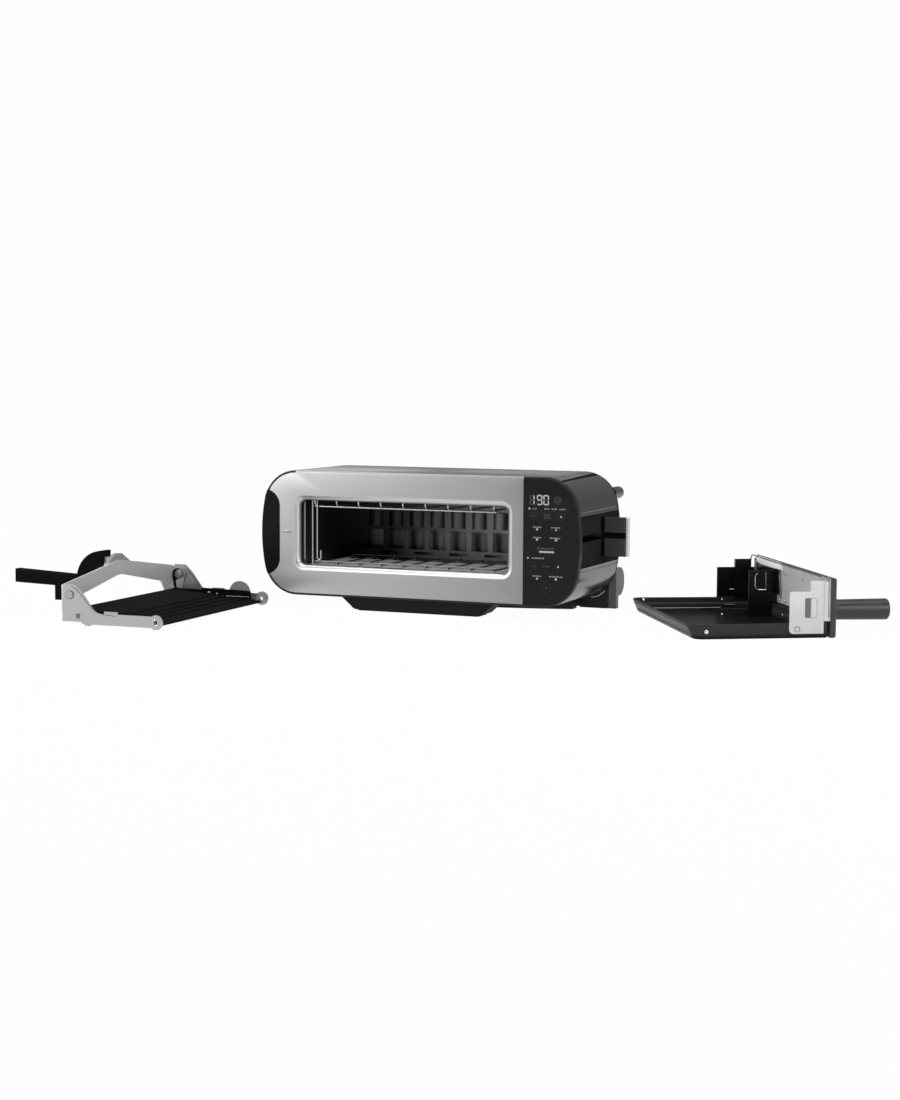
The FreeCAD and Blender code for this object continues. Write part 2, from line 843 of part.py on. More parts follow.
def right_end_cover():
    """The gloss end with its sunk band, the grooves beside it and the lever's slot."""
    body = new_body("right_end_cover")
    length = rear_front - frame_back
    pad(body, "XZ", frame_back, length, end_section(1))
    reach = cell.end_bulge_radius - cell.band_depth
    outside = half_width + 3
    band = [(end_surface(cell.band_depth, cell.band_low), cell.band_low),
            (outside, cell.band_low), (outside, cell.band_high),
            (end_surface(cell.band_depth, cell.band_high), cell.band_high, -reach)]
    pocket(body, "XZ", frame_back, length, band)
    for edge, sign in ((cell.band_low, -1), (cell.band_high, 1)):
        near = edge + sign * cell.groove_offset
        far = near + sign * cell.groove_width
        low, high = (near, far) if sign > 0 else (far, near)
        floor = end_surface(cell.groove_depth, near)
        pocket(body, "XZ", frame_back, length, box_loop(floor, outside, low, high))
    seam = box_loop(corner_x, corner_x + cell.seam_width, case_top - cell.seam_depth,
                    case_top + 1)
    pocket(body, "XZ", frame_back, length, seam)
    half_slot = cell.slot_height / 2
    slot = round_loop(cell.slot_front, cell.slot_back, cell.lever_z - half_slot,
                      cell.lever_z + half_slot, half_slot * 0.9)
    pocket(body, "YZ", half_width - cell.case_wall * 3, cell.case_wall * 4, slot)


def rear_base():
    """The back of the case, which is the base when the unit stands upright. Two rails
    on its inner face hold the crumb tray."""
    body = new_body("rear_base")
    pad(body, "XZ", rear_front, cell.rear_plate, case_outline(0))
    gap = cell.slide_gap
    rail_front = cell.crumb_front - gap - cell.crumb_sheet
    rail_left = cell.case_wall * 4 - half_width
    length = liner_right - rail_left
    for edge, sign in ((cell.crumb_low - gap, -1), (cell.crumb_high + gap, 1)):
        near = edge
        far = edge + sign * cell.rail_thickness
        lip = edge - sign * cell.rail_lip
        low, high = (near, far) if sign > 0 else (far, near)
        pad(body, "YZ", rail_left, length, box_loop(rail_front, rear_front, low, high))
        low, high = (lip, far) if sign > 0 else (far, lip)
        pad(body, "YZ", rail_left, length,
            box_loop(rail_front, rail_front + cell.crumb_sheet, low, high))
    first = as_size(-132)
    rows = [round_loop(first - 2, first + 2, as_size(middle - 16), as_size(middle + 16), 1.8)
            for middle in (72, 122)]
    slots = pocket(body, "XZ", back - 1.5, as_size(1.5), *rows)
    repeat(body, [slots], "X", as_size(264), 12)


def cavity_liner():
    """The steel box round the toasting slot, open behind towards the crumb tray."""
    body = new_body("cavity_liner")
    sheet_gap = cell.liner_sheet
    length = cell.liner_back - frame_back
    pad(body, "XZ", frame_back, length,
        box_loop(liner_left - sheet_gap, liner_right + sheet_gap,
                 cell.liner_low - sheet_gap, cell.liner_high + sheet_gap))
    pocket(body, "XZ", frame_back + sheet_gap, length,
           box_loop(liner_left, liner_right, cell.liner_low, cell.liner_high))
    pocket(body, "XZ", frame_back, length, opening_loop(as_size(2)))
    half_slot = cell.slot_height / 2
    pocket(body, "YZ", liner_right, sheet_gap,
           box_loop(frame_back + 3, cell.slot_back, cell.lever_z - half_slot,
                    cell.lever_z + half_slot))


def crumb_guide():
    """The sheet behind the slot: a row of windows for the crumbs under a row of
    pressed half-round bulges."""
    body = new_body("crumb_guide")
    sheet_gap = cell.liner_sheet
    pad(body, "XZ", cell.liner_back, sheet_gap,
        box_loop(liner_left - sheet_gap, liner_right + sheet_gap,
                 cell.liner_low - sheet_gap, cell.liner_high + sheet_gap))
    half = cell.guide_window / 2
    window = pocket(body, "XZ", cell.liner_back, sheet_gap,
                    box_loop(window_first - half, window_first + half,
                             cell.guide_window_low, cell.guide_window_high))
    repeat(body, [window], "X", cell.guide_pitch * 7, 8)
    proud = cell.bulge_proud
    radius = cell.bulge_radius
    chord = root(radius * radius - (radius - proud) * (radius - proud))
    bulge = pad(body, "XY", cell.bulge_low, cell.bulge_high - cell.bulge_low,
                [(window_first + chord, cell.liner_back),
                 (window_first - chord, cell.liner_back, radius)])
    repeat(body, [bulge], "X", cell.guide_pitch * 7, 8)


def guard(label, height, anchor, sign):
    """A row of bent wires with two cross wires, fixed to the liner at both ends."""
    body = new_body(label)
    bend = cell.wire_bend
    radius = cell.wire_radius
    start = frame_back + cell.liner_sheet + radius + 0.3
    stop = cell.wire_back
    turn = -bend if sign > 0 else bend
    path = [(start, anchor), (start, height + sign * bend, -turn),
            (start + bend, height), (stop - bend, height, -turn),
            (stop, height + sign * bend), (stop, anchor)]
    wire = bent_wire(body, "YZ", wire_first, path, radius)
    body.Tip = wire
    repeat(body, [wire], "X", wire_pitch * 8, 9)
    cross = height - sign * (radius + cell.cross_wire_radius - 0.2)
    rings = [("circle", y, cross, cell.cross_wire_radius)
             for y in (start + bend + 1, stop - bend - 1)]
    pad(body, "YZ", wire_first - 2, wire_pitch * 8 + 4, *rings)


def slot_rest():
    """Two upright bars and a hooked wire at the left end of the slot. They keep an insert
    or a slice away from the liner's end."""
    body = new_body("slot_rest")
    radius = cell.rest_bar_radius
    hook = 2.6
    level = cell.rest_bar_y
    hook_x = rest_hook_x
    low = cell.rest_hook_low
    path = [(hook_x, cell.liner_high), (hook_x, low + hook, hook),
            (hook_x + hook * 2, low + hook), (hook_x + hook * 2, cell.rest_hook_top)]
    bent_wire(body, "XZ", level, path, radius)
    pad(body, "XY", cell.liner_low, cell.liner_high - cell.liner_low,
        ("circle", hook_x - cell.rest_bar_pitch, level, radius))
    strip = hook_x - cell.rest_bar_pitch * 2.9
    pad(body, "XY", cell.liner_low, cell.liner_high - cell.liner_low,
        box_loop(strip, strip + 2.4, level - 1, level + 1))


def heater(label, height):
    """Three sheathed rods that run the length of the slot."""
    body = new_body(label)
    left = liner_left + cell.holder_length
    right = liner_right - cell.holder_length
    rings = [("circle", cell.heater_first + cell.heater_pitch * step, height,
              cell.heater_radius) for step in range(3)]
    pad(body, "YZ", left, right - left, *rings)


def heater_holders():
    """Ceramic blocks at the ends of the rods, fixed to the liner."""
    body = new_body("heater_holders")
    half = cell.holder_width / 2
    reach = cell.heater_wall_gap + cell.heater_radius + 2
    for left in (liner_left, liner_right - cell.holder_length):
        blocks = []
        for low, high in ((cell.liner_low, cell.liner_low + reach),
                          (cell.liner_high - reach, cell.liner_high)):
            for step in range(3):
                middle = cell.heater_first + cell.heater_pitch * step
                blocks.append(box_loop(middle - half, middle + half, low, high))
        pad(body, "YZ", left, cell.holder_length, *blocks)


def frame_plates():
    """Steel plates beside the liner, from the front frame to the rear base."""
    plate_front = front + cell.bezel_sheet + cell.front_plate
    low = cell.liner_low - 14
    high = cell.liner_high + 12
    half_slot = cell.slot_height / 2
    notch = cell.lip_roll + cell.front_plate + cell.fit_gap * 2
    for label, left in (("left_frame_plate", liner_left - cell.liner_sheet - cell.frame_plate),
                        ("right_frame_plate", liner_right + cell.liner_sheet)):
        body = new_body(label)
        pad(body, "YZ", left, cell.frame_plate,
            [(plate_front, low), (rear_front, low),
             (rear_front, cell.crumb_low - 8), (cell.liner_back + cell.liner_sheet,
                                                cell.crumb_low - 8),
             (cell.liner_back + cell.liner_sheet, cell.crumb_high + 8),
             (rear_front, cell.crumb_high + 8), (rear_front, high), (plate_front, high)])
        if label == "right_frame_plate":
            pocket(body, "YZ", left, cell.frame_plate,
                   box_loop(frame_back + 3, cell.slot_back, cell.lever_z - half_slot,
                            cell.lever_z + half_slot))
        pocket(body, "YZ", left, cell.frame_plate,
               box_loop(plate_front, frame_back, cell.opening_low - notch,
                        cell.opening_high + notch))


def guide_rods():
    body = new_body("guide_rods")
    start = front + cell.bezel_sheet + cell.front_plate
    rings = [("circle", rod_x, cell.lever_z + side * cell.rod_spread, cell.rod_radius)
             for side in (-1, 1)]
    pad(body, "XZ", start, rear_front - start, *rings)


def latch_magnet():
    """The electromagnet that holds the carriage, on the right frame plate."""
    body = new_body("latch_magnet")
    left = liner_right + cell.liner_sheet + cell.frame_plate
    start = cell.lever_y + cell.block_length / 2 + 1
    pad(body, "YZ", left, 6, box_loop(start, start + 20, cell.lever_z - 9, cell.lever_z + 9))
    pad(body, "YZ", left + 6, 10,
        ("circle", start + 10, cell.lever_z, 7.5))
    pad(body, "YZ", left + 16, 1.5,
        box_loop(start, start + 20, cell.lever_z - 9, cell.lever_z + 9))


def carriage():
    """The bread rest and the arm that carries it: a comb behind the slot, a side plate,
    a stem through the liner and a block that runs on two rods."""
    body = new_body("carriage")
    bar_top = cell.comb_low + cell.comb_bar
    plate_x = liner_right - 4
    sheet_gap = cell.comb_sheet
    pad(body, "XZ", cell.comb_y, sheet_gap,
        box_loop(liner_left + 12, plate_x, cell.comb_low, bar_top))
    half = cell.finger_width / 2
    finger_x = bar_first + cell.comb_offset
    finger = pad(body, "XZ", cell.comb_y, sheet_gap,
                 round_loop(finger_x - half, finger_x + half,
                            bar_top - 2, cell.finger_top, 1))
    repeat(body, [finger], "X", cell.guide_pitch * 6, 7)
    half_slot = cell.comb_slot_length / 2
    slot_low = cell.comb_low + (cell.comb_bar - cell.comb_slot_height) / 2
    slot_x = 5 - cell.comb_slot_pitch * 2
    slot = pocket(body, "XZ", cell.comb_y, sheet_gap,
                  round_loop(slot_x - half_slot, slot_x + half_slot, slot_low,
                             slot_low + cell.comb_slot_height, 1.6))
    repeat(body, [slot], "X", cell.comb_slot_pitch * 4, 5)
    arm_low = cell.lever_z - cell.stem_height / 2
    arm_high = cell.lever_z + cell.stem_height / 2
    comb_back = cell.comb_y + sheet_gap
    pad(body, "YZ", plate_x - sheet_gap, sheet_gap,
        [(cell.comb_y - 4, cell.comb_low), (comb_back, cell.comb_low), (comb_back, arm_high),
         (lever_front, arm_high), (lever_front, arm_low), (cell.comb_y - 4, arm_low)])
    pad(body, "YZ", plate_x - sheet_gap, knob_inner + 2 - plate_x + sheet_gap,
        box_loop(lever_front, lever_back, arm_low, arm_high))
    half_block = cell.block_length / 2
    half_height = cell.block_height / 2
    pad(body, "YZ", rod_x - cell.block_width / 2, cell.block_width,
        round_loop(cell.lever_y - half_block, cell.lever_y + half_block,
                   cell.lever_z - half_height, cell.lever_z + half_height, 2))
    bore = cell.rod_radius + cell.shaft_gap
    holes = [("circle", rod_x, cell.lever_z + side * cell.rod_spread, bore)
             for side in (-1, 1)]
    pocket(body, "XZ", cell.lever_y - half_block, cell.block_length, *holes)


def lever_knob():
    """The lever's gloss block, with a groove across the face that meets the fingers."""
    body = new_body("lever_knob")
    half = cell.knob_depth / 2
    near = cell.lever_y - half
    pad(body, "XY", cell.knob_low, cell.knob_high - cell.knob_low,
        round_loop(knob_inner, knob_inner + cell.knob_width, near,
                   cell.lever_y + half, cell.knob_round))
    half_groove = cell.knob_groove / 2
    pocket(body, "YZ", knob_inner, cell.knob_width,
           box_loop(near - 1, near + 3, cell.lever_z - half_groove,
                    cell.lever_z + half_groove))
    half_stem = cell.stem_height / 2
    pocket(body, "YZ", knob_inner, as_size(2),
           box_loop(lever_front, lever_back, cell.lever_z - half_stem,
                    cell.lever_z + half_stem))


def lever_cap():
    body = new_body("lever_cap")
    half = cell.knob_depth / 2
    pad(body, "YZ", knob_inner + cell.knob_width, cell.cap_thickness,
        round_loop(cell.lever_y - half, cell.lever_y + half, cell.knob_low,
                   cell.knob_high, cell.knob_round))


def crumb_tray():
    """A shallow pan behind the slot that draws out of the left end."""
    body = new_body("crumb_tray")
    left = cell.case_wall * 3 - half_width
    depth = rear_front - cell.slide_gap - cell.crumb_front
    sheet_gap = cell.crumb_sheet
    pad(body, "XZ", cell.crumb_front, depth,
        box_loop(left, cell.crumb_right, cell.crumb_low, cell.crumb_high))
    pocket(body, "XZ", cell.crumb_front, depth - sheet_gap,
           box_loop(left + sheet_gap, cell.crumb_right - sheet_gap,
                    cell.crumb_low + sheet_gap, cell.crumb_high - sheet_gap))


def crumb_tray_pull():
    """The tray's end piece. It follows the bulge of the end and has a finger hollow."""
    body = new_body("crumb_tray_pull")
    right = cell.case_wall * 3 - half_width
    depth = rear_front - cell.slide_gap - cell.crumb_front
    low = cell.crumb_low
    high = cell.crumb_high
    pad(body, "XZ", cell.crumb_front, depth,
        [(right, low), (right, high), (-end_surface(0, high), high, cell.end_bulge_radius),
         (-end_surface(0, low), low)])
    pocket(body, "XZ", cell.crumb_front, depth / 2,
           round_loop(-half_width + 2.5, right - 2, case_middle - 22, case_middle + 22, 2))


def front_foot():
    """The broad foot under the front edge, with sides that slope in to the worktop."""
    body = new_body("front_foot")
    low = cell.pad_thickness
    high = cell.body_base
    top_half = half_width - cell.foot_margin
    bottom_half = top_half - cell.foot_slope
    step = 6
    pad(body, "XZ", cell.foot_front, cell.foot_back - cell.foot_front,
        [(step - bottom_half, low), (bottom_half - step, low, 10),
         (bottom_half + 1, low + 4), (top_half, high),
         (-top_half, high), (-bottom_half - 1, low + 4, 10)])


def front_foot_pad():
    body = new_body("front_foot_pad")
    half = half_width - cell.foot_margin - cell.foot_slope - 7
    pad(body, "XY", as_size(0), cell.pad_thickness,
        round_loop(-half, half, cell.foot_front + 2, cell.foot_back - 2, 3))


def under_skirt():
    """The bow-fronted bar below the case, a little above the worktop."""
    body = new_body("under_skirt")
    half = half_width - cell.skirt_margin
    pad(body, "XY", cell.skirt_low, cell.body_base - cell.skirt_low,
        [(-half, cell.skirt_end, cell.skirt_radius), (half, cell.skirt_end),
         (half, cell.skirt_back), (-half, cell.skirt_back)])


def rear_foot(label, side):
    """A moulded block on the rear face that reaches down to the worktop."""
    body = new_body(label)
    inner = side * rear_foot_inner
    outer = side * rear_foot_outer
    left, right = (inner, outer) if side > 0 else (outer, inner)
    depth = cell.rear_foot_depth
    pad(body, "YZ", left, right - left,
        [(back, cell.pad_thickness), (back + depth, cell.pad_thickness),
         (back + depth, cell.rear_foot_height - 8, 8),
         (back + depth - 8, cell.rear_foot_height), (back, cell.rear_foot_height)])


def rear_foot_pads():
    body = new_body("rear_foot_pads")
    depth = cell.rear_foot_depth
    loops = []
    for side in (-1, 1):
        inner = side * (rear_foot_inner + 3)
        outer = side * (rear_foot_outer - 3)
        left, right = (inner, outer) if side > 0 else (outer, inner)
        loops.append(round_loop(left, right, back + 2, back + depth - 2, 2))
    pad(body, "XY", as_size(0), cell.pad_thickness, *loops)


def base_lobe(label, side):
    """A grey cheek beside the rear foot. It is round behind, because it carries the unit
    when that stands upright."""
    body = new_body(label)
    inner = side * rear_foot_outer
    outer = side * (rear_foot_outer + cell.lobe_thickness)
    left = inner if side > 0 else outer
    reach = back + cell.base_reach
    radius = cell.lobe_radius
    centre = reach - radius
    leg = back + cell.lobe_leg
    leg_top = cell.lobe_z - root(radius * radius - (centre - leg) * (centre - leg))
    pad(body, "YZ", left, cell.lobe_thickness,
        [(back, as_size(0.5)), (leg, as_size(0.5)), (leg, leg_top, radius),
         (reach, cell.lobe_z, radius), (centre, cell.lobe_z + radius),
         (back, cell.lobe_z + radius)])


def base_bumper(label, side):
    """A short round foot near the top of the rear face."""
    body = new_body(label)
    radius = cell.bumper_radius
    reach = cell.base_reach
    pad(body, "XZ", back, reach,
        ("circle", side * (half_width - cell.bumper_margin), cell.bumper_z, radius))
    end = back + reach
    round_edges(body, radius * 0.5, lambda edge: flat_at(edge, "y", end))


def cord_gland():
    """The collar in the rear face through which a mains lead would enter."""
    body = new_body("cord_gland")
    pad(body, "XZ", back, 6, ("circle", as_size(-150), as_size(48), as_size(9)))
    pad(body, "XZ", back, 14, ("circle", as_size(-150), as_size(48), as_size(6)))
    pocket(body, "XZ", back, 14, ("circle", as_size(-150), as_size(48), as_size(3.6)))


def case_screws():
    """Six pan heads that hold the rear base."""
    body = new_body("case_screws")
    heads = [("circle", as_size(x), height, 3.5) for x in (-140, 0, 140)
             for height in (cell.body_base + 12, case_top - 12)]
    pad(body, "XZ", back, 1.8, *heads)


def stand_insert(label, kind):
    """Turns a body and stands it at its insert's place."""
    body = doc.getObject(label)
    body.Placement = Placement(Vector(0, 0, 0), Rotation(Vector(0, 0, 1), 10))
    bind(body, ".Placement.Rotation.Angle", getattr(cell, f"{kind}_turn"))
    bind(body, ".Placement.Base.x", getattr(cell, f"{kind}_x"))
    bind(body, ".Placement.Base.y", getattr(cell, f"{kind}_y"))


def press_side(label, far):
    """A boot-shaped side plate with a long low arm that ends in an eye for the roller."""
    body = new_body(label)
    sheet_gap = cell.press_plate
    inner = cell.press_width - sheet_gap
    level = inner if far else as_size(0)
    eye = (cell.arm_high - cell.arm_low) / 2
    eye_z = cell.arm_low + eye
    pad(body, "XZ", level, sheet_gap,
        [(cell.heel_x, cell.heel_z), (cell.heel_x + 29, cell.heel_z),
         (cell.heel_x + 32, as_size(0)), (cell.heel_x + 38, as_size(0)),
         (cell.heel_x + 41.5, cell.arm_low), (as_size(0), cell.arm_low, eye),
         (eye, eye_z, eye), (as_size(0), cell.arm_high), (cell.arm_root, cell.arm_high),
         (cell.boot_knee_x, cell.boot_knee_z), (cell.boot_top_right, cell.boot_top),
         (cell.heel_x + 1.5, cell.boot_top)])
    tab_top = cell.arm_high + (4.6 if far else 2.9)
    pad(body, "XZ", level, sheet_gap,
        box_loop(cell.arm_root + 12, cell.arm_root + 30, eye_z, tab_top))
    if far:
        radius = cell.ear_radius
        pad(body, "XZ", level, sheet_gap,
            [(cell.ear_x - radius, eye_z), (cell.ear_x + radius, eye_z),
             (cell.ear_x + radius, cell.arm_high, radius),
             (cell.ear_x, cell.arm_high + radius, radius),
             (cell.ear_x - radius, cell.arm_high)])
    hole = cell.pivot_radius + cell.shaft_gap
    pocket(body, "XZ", level, sheet_gap, ("circle", cell.pivot_x, cell.pivot_z, hole))
    stub = cell.roller_width + cell.slide_gap * 2
    outside = cell.press_width if far else -stub
    pad(body, "XZ", outside, stub, ("circle", as_size(0), cell.roller_z, cell.roller_pin))
    bore = ("circle", as_size(0), cell.roller_z, cell.roller_bore)
    pocket(body, "XZ", level if far else outside, stub + sheet_gap, bore)
    if not far:
        pocket(body, "XZ", as_size(0), 0.5, box_loop(
            cell.heel_x + 22, cell.heel_x + 29, cell.heel_z + 2.6, cell.heel_z + 9.6))

    def at_knee(edge):
        box = edge.BoundBox
        near = abs(box.XMin - cell.arm_root.value) < 0.05
        return near and abs(box.ZMin - cell.arm_high.value) < 0.05

    round_edges(body, cell.arm_fillet,
                lambda edge: runs_along(edge, Vector(0, 1, 0)) and at_knee(edge))
    stand_insert(label, "press")


def press_roller(label, far):
    """A small wheel on the end of the arm. It has a raised ring round its bore."""
    body = new_body(label)
    gap = cell.slide_gap
    level = cell.press_width + gap if far else -cell.roller_width - gap
    ring = ("circle", as_size(0), cell.roller_z, cell.roller_radius)
    bore = ("circle", as_size(0), cell.roller_z, cell.roller_pin + cell.shaft_gap)
    pad(body, "XZ", level, cell.roller_width, ring, bore)
    stand_insert(label, "press")


def press_lower_plate():
    """The thin bottom plate that ties the two sides together."""
    body = new_body("press_lower_plate")
    inner = cell.press_plate
    outer = cell.press_width - cell.press_plate
    sheet_gap = cell.lower_plate_sheet
    low = cell.lower_plate_z
    pad(body, "XY", low, sheet_gap,
        box_loop(cell.lower_plate_back, cell.lower_plate_front, inner, outer))
    for level in (inner, outer - sheet_gap):
        pad(body, "XZ", level, sheet_gap,
            box_loop(cell.arm_root, cell.lower_plate_front, low, low + 7))
    stand_insert("press_lower_plate", "press")


def press_pivot_pins():
    """Two headed pins on which the yoke turns."""
    body = new_body("press_pivot_pins")
    centre = (cell.pivot_x, cell.pivot_z)
    inner = cell.press_plate + cell.yoke_side_gap + cell.yoke_sheet + 0.2
    head = as_size(1.2)
    inner_head = 1.8
    for far in (False, True):
        shank = cell.press_width - inner if far else as_size(0)
        cap = cell.press_width if far else -head
        nut = cell.press_width - inner - inner_head if far else inner
        pad(body, "XZ", shank, inner, ("circle", *centre, cell.pivot_radius))
        pad(body, "XZ", cap, head, ("circle", *centre, cell.pivot_head))
        pad(body, "XZ", nut, inner_head, ("circle", *centre, cell.pivot_inner_head))
    stand_insert("press_pivot_pins", "press")


def press_yoke():
    """The arched bar of bent sheet that turns on the two pins. It has a cheek at each
    end, whose lower end carries the press plate."""
    body = new_body("press_yoke")
    sheet_gap = cell.yoke_sheet
    inset = cell.press_plate + cell.yoke_side_gap
    left = inset
    right = cell.press_width - inset
    middle = cell.press_width / 2
    crown = 8
    drop = (cell.yoke_peak - cell.yoke_end_top) * crown / (middle - inset)
    top = cell.yoke_peak - drop
    under = top - cell.yoke_bar
    foot = cell.yoke_leg_low
    leg = cell.yoke_leg
    shoulder = cell.yoke_end_top - cell.yoke_bar
    pad(body, "YZ", cell.yoke_x, sheet_gap,
        [(left, foot), (left + leg, foot), (left + leg + 10, shoulder),
         (middle - crown, under, -60), (middle + crown, under),
         (right - leg - 10, shoulder), (right - leg, foot), (right, foot),
         (right, cell.yoke_end_top), (middle + crown, top, 60), (middle - crown, top),
         (left, cell.yoke_end_top)])
    tip = cell.hinge_pin_radius + 3
    pin_x = cell.hinge_pin_x
    pin_z = cell.hinge_pin_z
    hub = cell.pivot_radius + 5
    cheek = [(cell.yoke_x, cell.yoke_leg_low), (pin_x - tip, pin_z, tip),
             (pin_x, pin_z - tip, tip), (pin_x + tip, pin_z),
             (cell.pivot_x + hub, cell.pivot_z, hub), (cell.pivot_x, cell.pivot_z + hub),
             (cell.yoke_x, cell.yoke_end_top)]
    for level in (left, right - sheet_gap):
        pad(body, "XZ", level, sheet_gap, cheek)
        pocket(body, "XZ", level, sheet_gap,
               ("circle", cell.pivot_x, cell.pivot_z, cell.pivot_radius + cell.shaft_gap))
        pocket(body, "XZ", level, sheet_gap,
               ("circle", pin_x, pin_z, cell.hinge_pin_radius + cell.shaft_gap))
    stand_insert("press_yoke", "press")


def press_saddle():
    """The bracket on the yoke's crown that takes the end of the handle."""
    body = new_body("press_saddle")
    middle = cell.press_width / 2
    half = cell.saddle_half
    top = cell.saddle_peak
    low = cell.yoke_peak - 12
    pad(body, "YZ", cell.yoke_x - cell.saddle_depth, cell.saddle_depth,
        [(middle - half, low), (middle + half, low), (middle + half, top - 11),
         (middle + half * 0.3, top, 40), (middle - half * 0.3, top), (middle - half, top - 11)])
    tongue = cell.tongue_half
    start = cell.yoke_x - cell.saddle_depth - cell.neck_tip
    pad(body, "YZ", start, cell.neck_tip,
        box_loop(middle - tongue, middle + tongue, cell.tongue_low, cell.tongue_high))
    stand_insert("press_saddle", "press")


def press_handle():
    """The moulded handle: a straight grip, and a neck that bends up to the saddle."""
    body = new_body("press_handle")
    width = cell.grip_width
    level = cell.press_width / 2 - width / 2
    tip_x = cell.yoke_x - cell.saddle_depth - cell.neck_tip
    reach = tip_x - cell.neck_x
    outer_z = cell.neck_z + root(cell.neck_outer * cell.neck_outer - reach * reach)
    inner_z = cell.neck_z + root(cell.neck_inner * cell.neck_inner - reach * reach)
    rise = cell.grip_root_top - cell.neck_z
    root_x = cell.neck_x - root(cell.neck_outer * cell.neck_outer - rise * rise)
    inner_x = cell.neck_x - cell.neck_inner
    stub_right = cell.stub_x + cell.stub_width
    low = cell.grip_root_low
    pad(body, "XZ", level, width,
        [(cell.grip_end, cell.grip_end_low), (cell.stub_x, low),
         (cell.stub_x, cell.stub_low), (stub_right, cell.stub_low), (stub_right, low),
         (inner_x - 4, low), (inner_x, low + 5), (inner_x, cell.neck_z, -cell.neck_inner),
         (tip_x, inner_z), (tip_x, outer_z, cell.neck_outer),
         (root_x, cell.grip_root_top), (cell.grip_end, cell.grip_end_high)])

    def on_grip(edge):
        box = edge.BoundBox
        side = abs(box.YMax - box.YMin) < 0.01
        under = box.XMax < cell.stub_x.value + 0.5
        over = box.XMin < cell.grip_end.value + 0.5 and box.XMax < root_x.value + 0.5
        tall = box.ZMin > cell.grip_root_low.value - 0.5
        return side and (under or over) and tall

    round_edges(body, cell.grip_round, on_grip)
    stand_insert("press_handle", "press")


def press_upper_plate():
    """The cast press plate: a floor that slopes to the free end, with ribs across it,
    between two level side walls. Two pins in the walls hang in the yoke's cheeks."""
    body = new_body("press_upper_plate")
    outside = cell.press_plate + cell.yoke_side_gap + cell.yoke_sheet + cell.plate_gap
    inner = outside + cell.plate_wall
    far = cell.press_width - outside
    thick = cell.plate_thickness
    pad(body, "XZ", outside, far - outside,
        [(cell.plate_back, cell.plate_back_top - thick),
         (cell.plate_front, cell.plate_front_top - thick),
         (cell.plate_front, cell.plate_front_top), (cell.plate_back, cell.plate_back_top)])
    wall = [(cell.plate_back - 0.5, cell.plate_wall_low),
            (cell.plate_wall_front, cell.plate_wall_low),
            (cell.plate_wall_front, cell.plate_wall_top - 1.2),
            (cell.plate_back - 0.5, cell.plate_wall_top)]
    for level in (outside, far - cell.plate_wall):
        pad(body, "XZ", level, cell.plate_wall, wall)
    fall = (cell.plate_front_top - cell.plate_back_top) / (cell.plate_front - cell.plate_back)
    for step in range(4):
        start = cell.rib_first + cell.rib_pitch * step
        base = cell.plate_back_top + fall * (start - cell.plate_back)
        width = cell.rib_width
        pad(body, "XZ", inner + 4, far - cell.plate_wall - 4 - (inner + 4),
            [(start, base - 0.6), (start + width, base + fall * width - 0.6),
             (start + width * 0.75, base + fall * width + cell.rib_height),
             (start + width * 0.25, base + cell.rib_height)])
    pin = ("circle", cell.hinge_pin_x, cell.hinge_pin_z, cell.hinge_pin_radius)
    length = cell.plate_gap + cell.yoke_sheet
    pad(body, "XZ", outside - length, length, pin)
    pad(body, "XZ", far, length, pin)
    stand_insert("press_upper_plate", "press")


def grill_tray():
    """The pan: round corners at its free end and a step inside, half way up the wall."""
    body = new_body("grill_tray")
    near = cell.bracket_sheet
    far = cell.tray_width - cell.bracket_sheet
    left = -cell.tray_length - 2
    right = as_size(-2)
    corner = cell.tray_corner

    def plan(inset, shift=0):
        bend = corner - inset
        end = left + inset + shift
        wide = far + cell.tray_spread - inset
        return [(end + bend, near + inset), (right - inset, near + inset),
                (right - inset, far - inset), (cell.cheek_back, far - inset),
                (end + bend, wide, bend), (end, wide - bend),
                (end, near + inset + bend, bend)]

    pad(body, "XY", as_size(0), cell.tray_height, plan(as_size(0)))
    pocket(body, "XZ", near - 1, far - near + 2 + cell.tray_spread,
           [(left - 1, as_size(-1)), (left + cell.tray_flare, as_size(-1)),
            (left + cell.tray_flare, as_size(0)), (left, cell.tray_height - 2),
            (left - 1, cell.tray_height - 2)])
    pocket(body, "XY", cell.tray_step_z, cell.tray_height - cell.tray_step_z,
           plan(cell.tray_sheet, cell.tray_flare * 0.35))
    pocket(body, "XY", cell.tray_sheet, cell.tray_height,
           plan(cell.tray_sheet + cell.tray_step, cell.tray_flare))
    stand_insert("grill_tray", "tray")


def tray_bracket_near():
    """The bright side bracket, with a window beside a D-shaped pressing."""
    body = new_body("tray_bracket_near")
    cut = cell.bracket_chamfer
    pad(body, "XZ", as_size(0), cell.bracket_sheet,
        [(cell.bracket_back + cut, cell.bracket_low), (cell.bracket_front, cell.bracket_low),
         (cell.bracket_front, cell.bracket_tab_top),
         (cell.bracket_tab_back, cell.bracket_tab_top),
         (cell.bracket_tab_back, cell.bracket_high), (cell.bracket_back, cell.bracket_high),
         (cell.bracket_back, cell.bracket_low + cut)])
    pocket(body, "XZ", as_size(0), cell.recess_depth,
           box_loop(cell.slot_back_x, cell.slot_split_x, cell.slot_low_z, cell.slot_high_z))
    bend = 5
    pocket(body, "XZ", as_size(0), 0.4,
           [(cell.slot_split_x, cell.slot_low_z), (cell.slot_front_x - bend, cell.slot_low_z, bend),
            (cell.slot_front_x, cell.slot_low_z + bend),
            (cell.slot_front_x, cell.slot_high_z - bend, bend),
            (cell.slot_front_x - bend, cell.slot_high_z), (cell.slot_split_x, cell.slot_high_z)])
    stand_insert("tray_bracket_near", "tray")


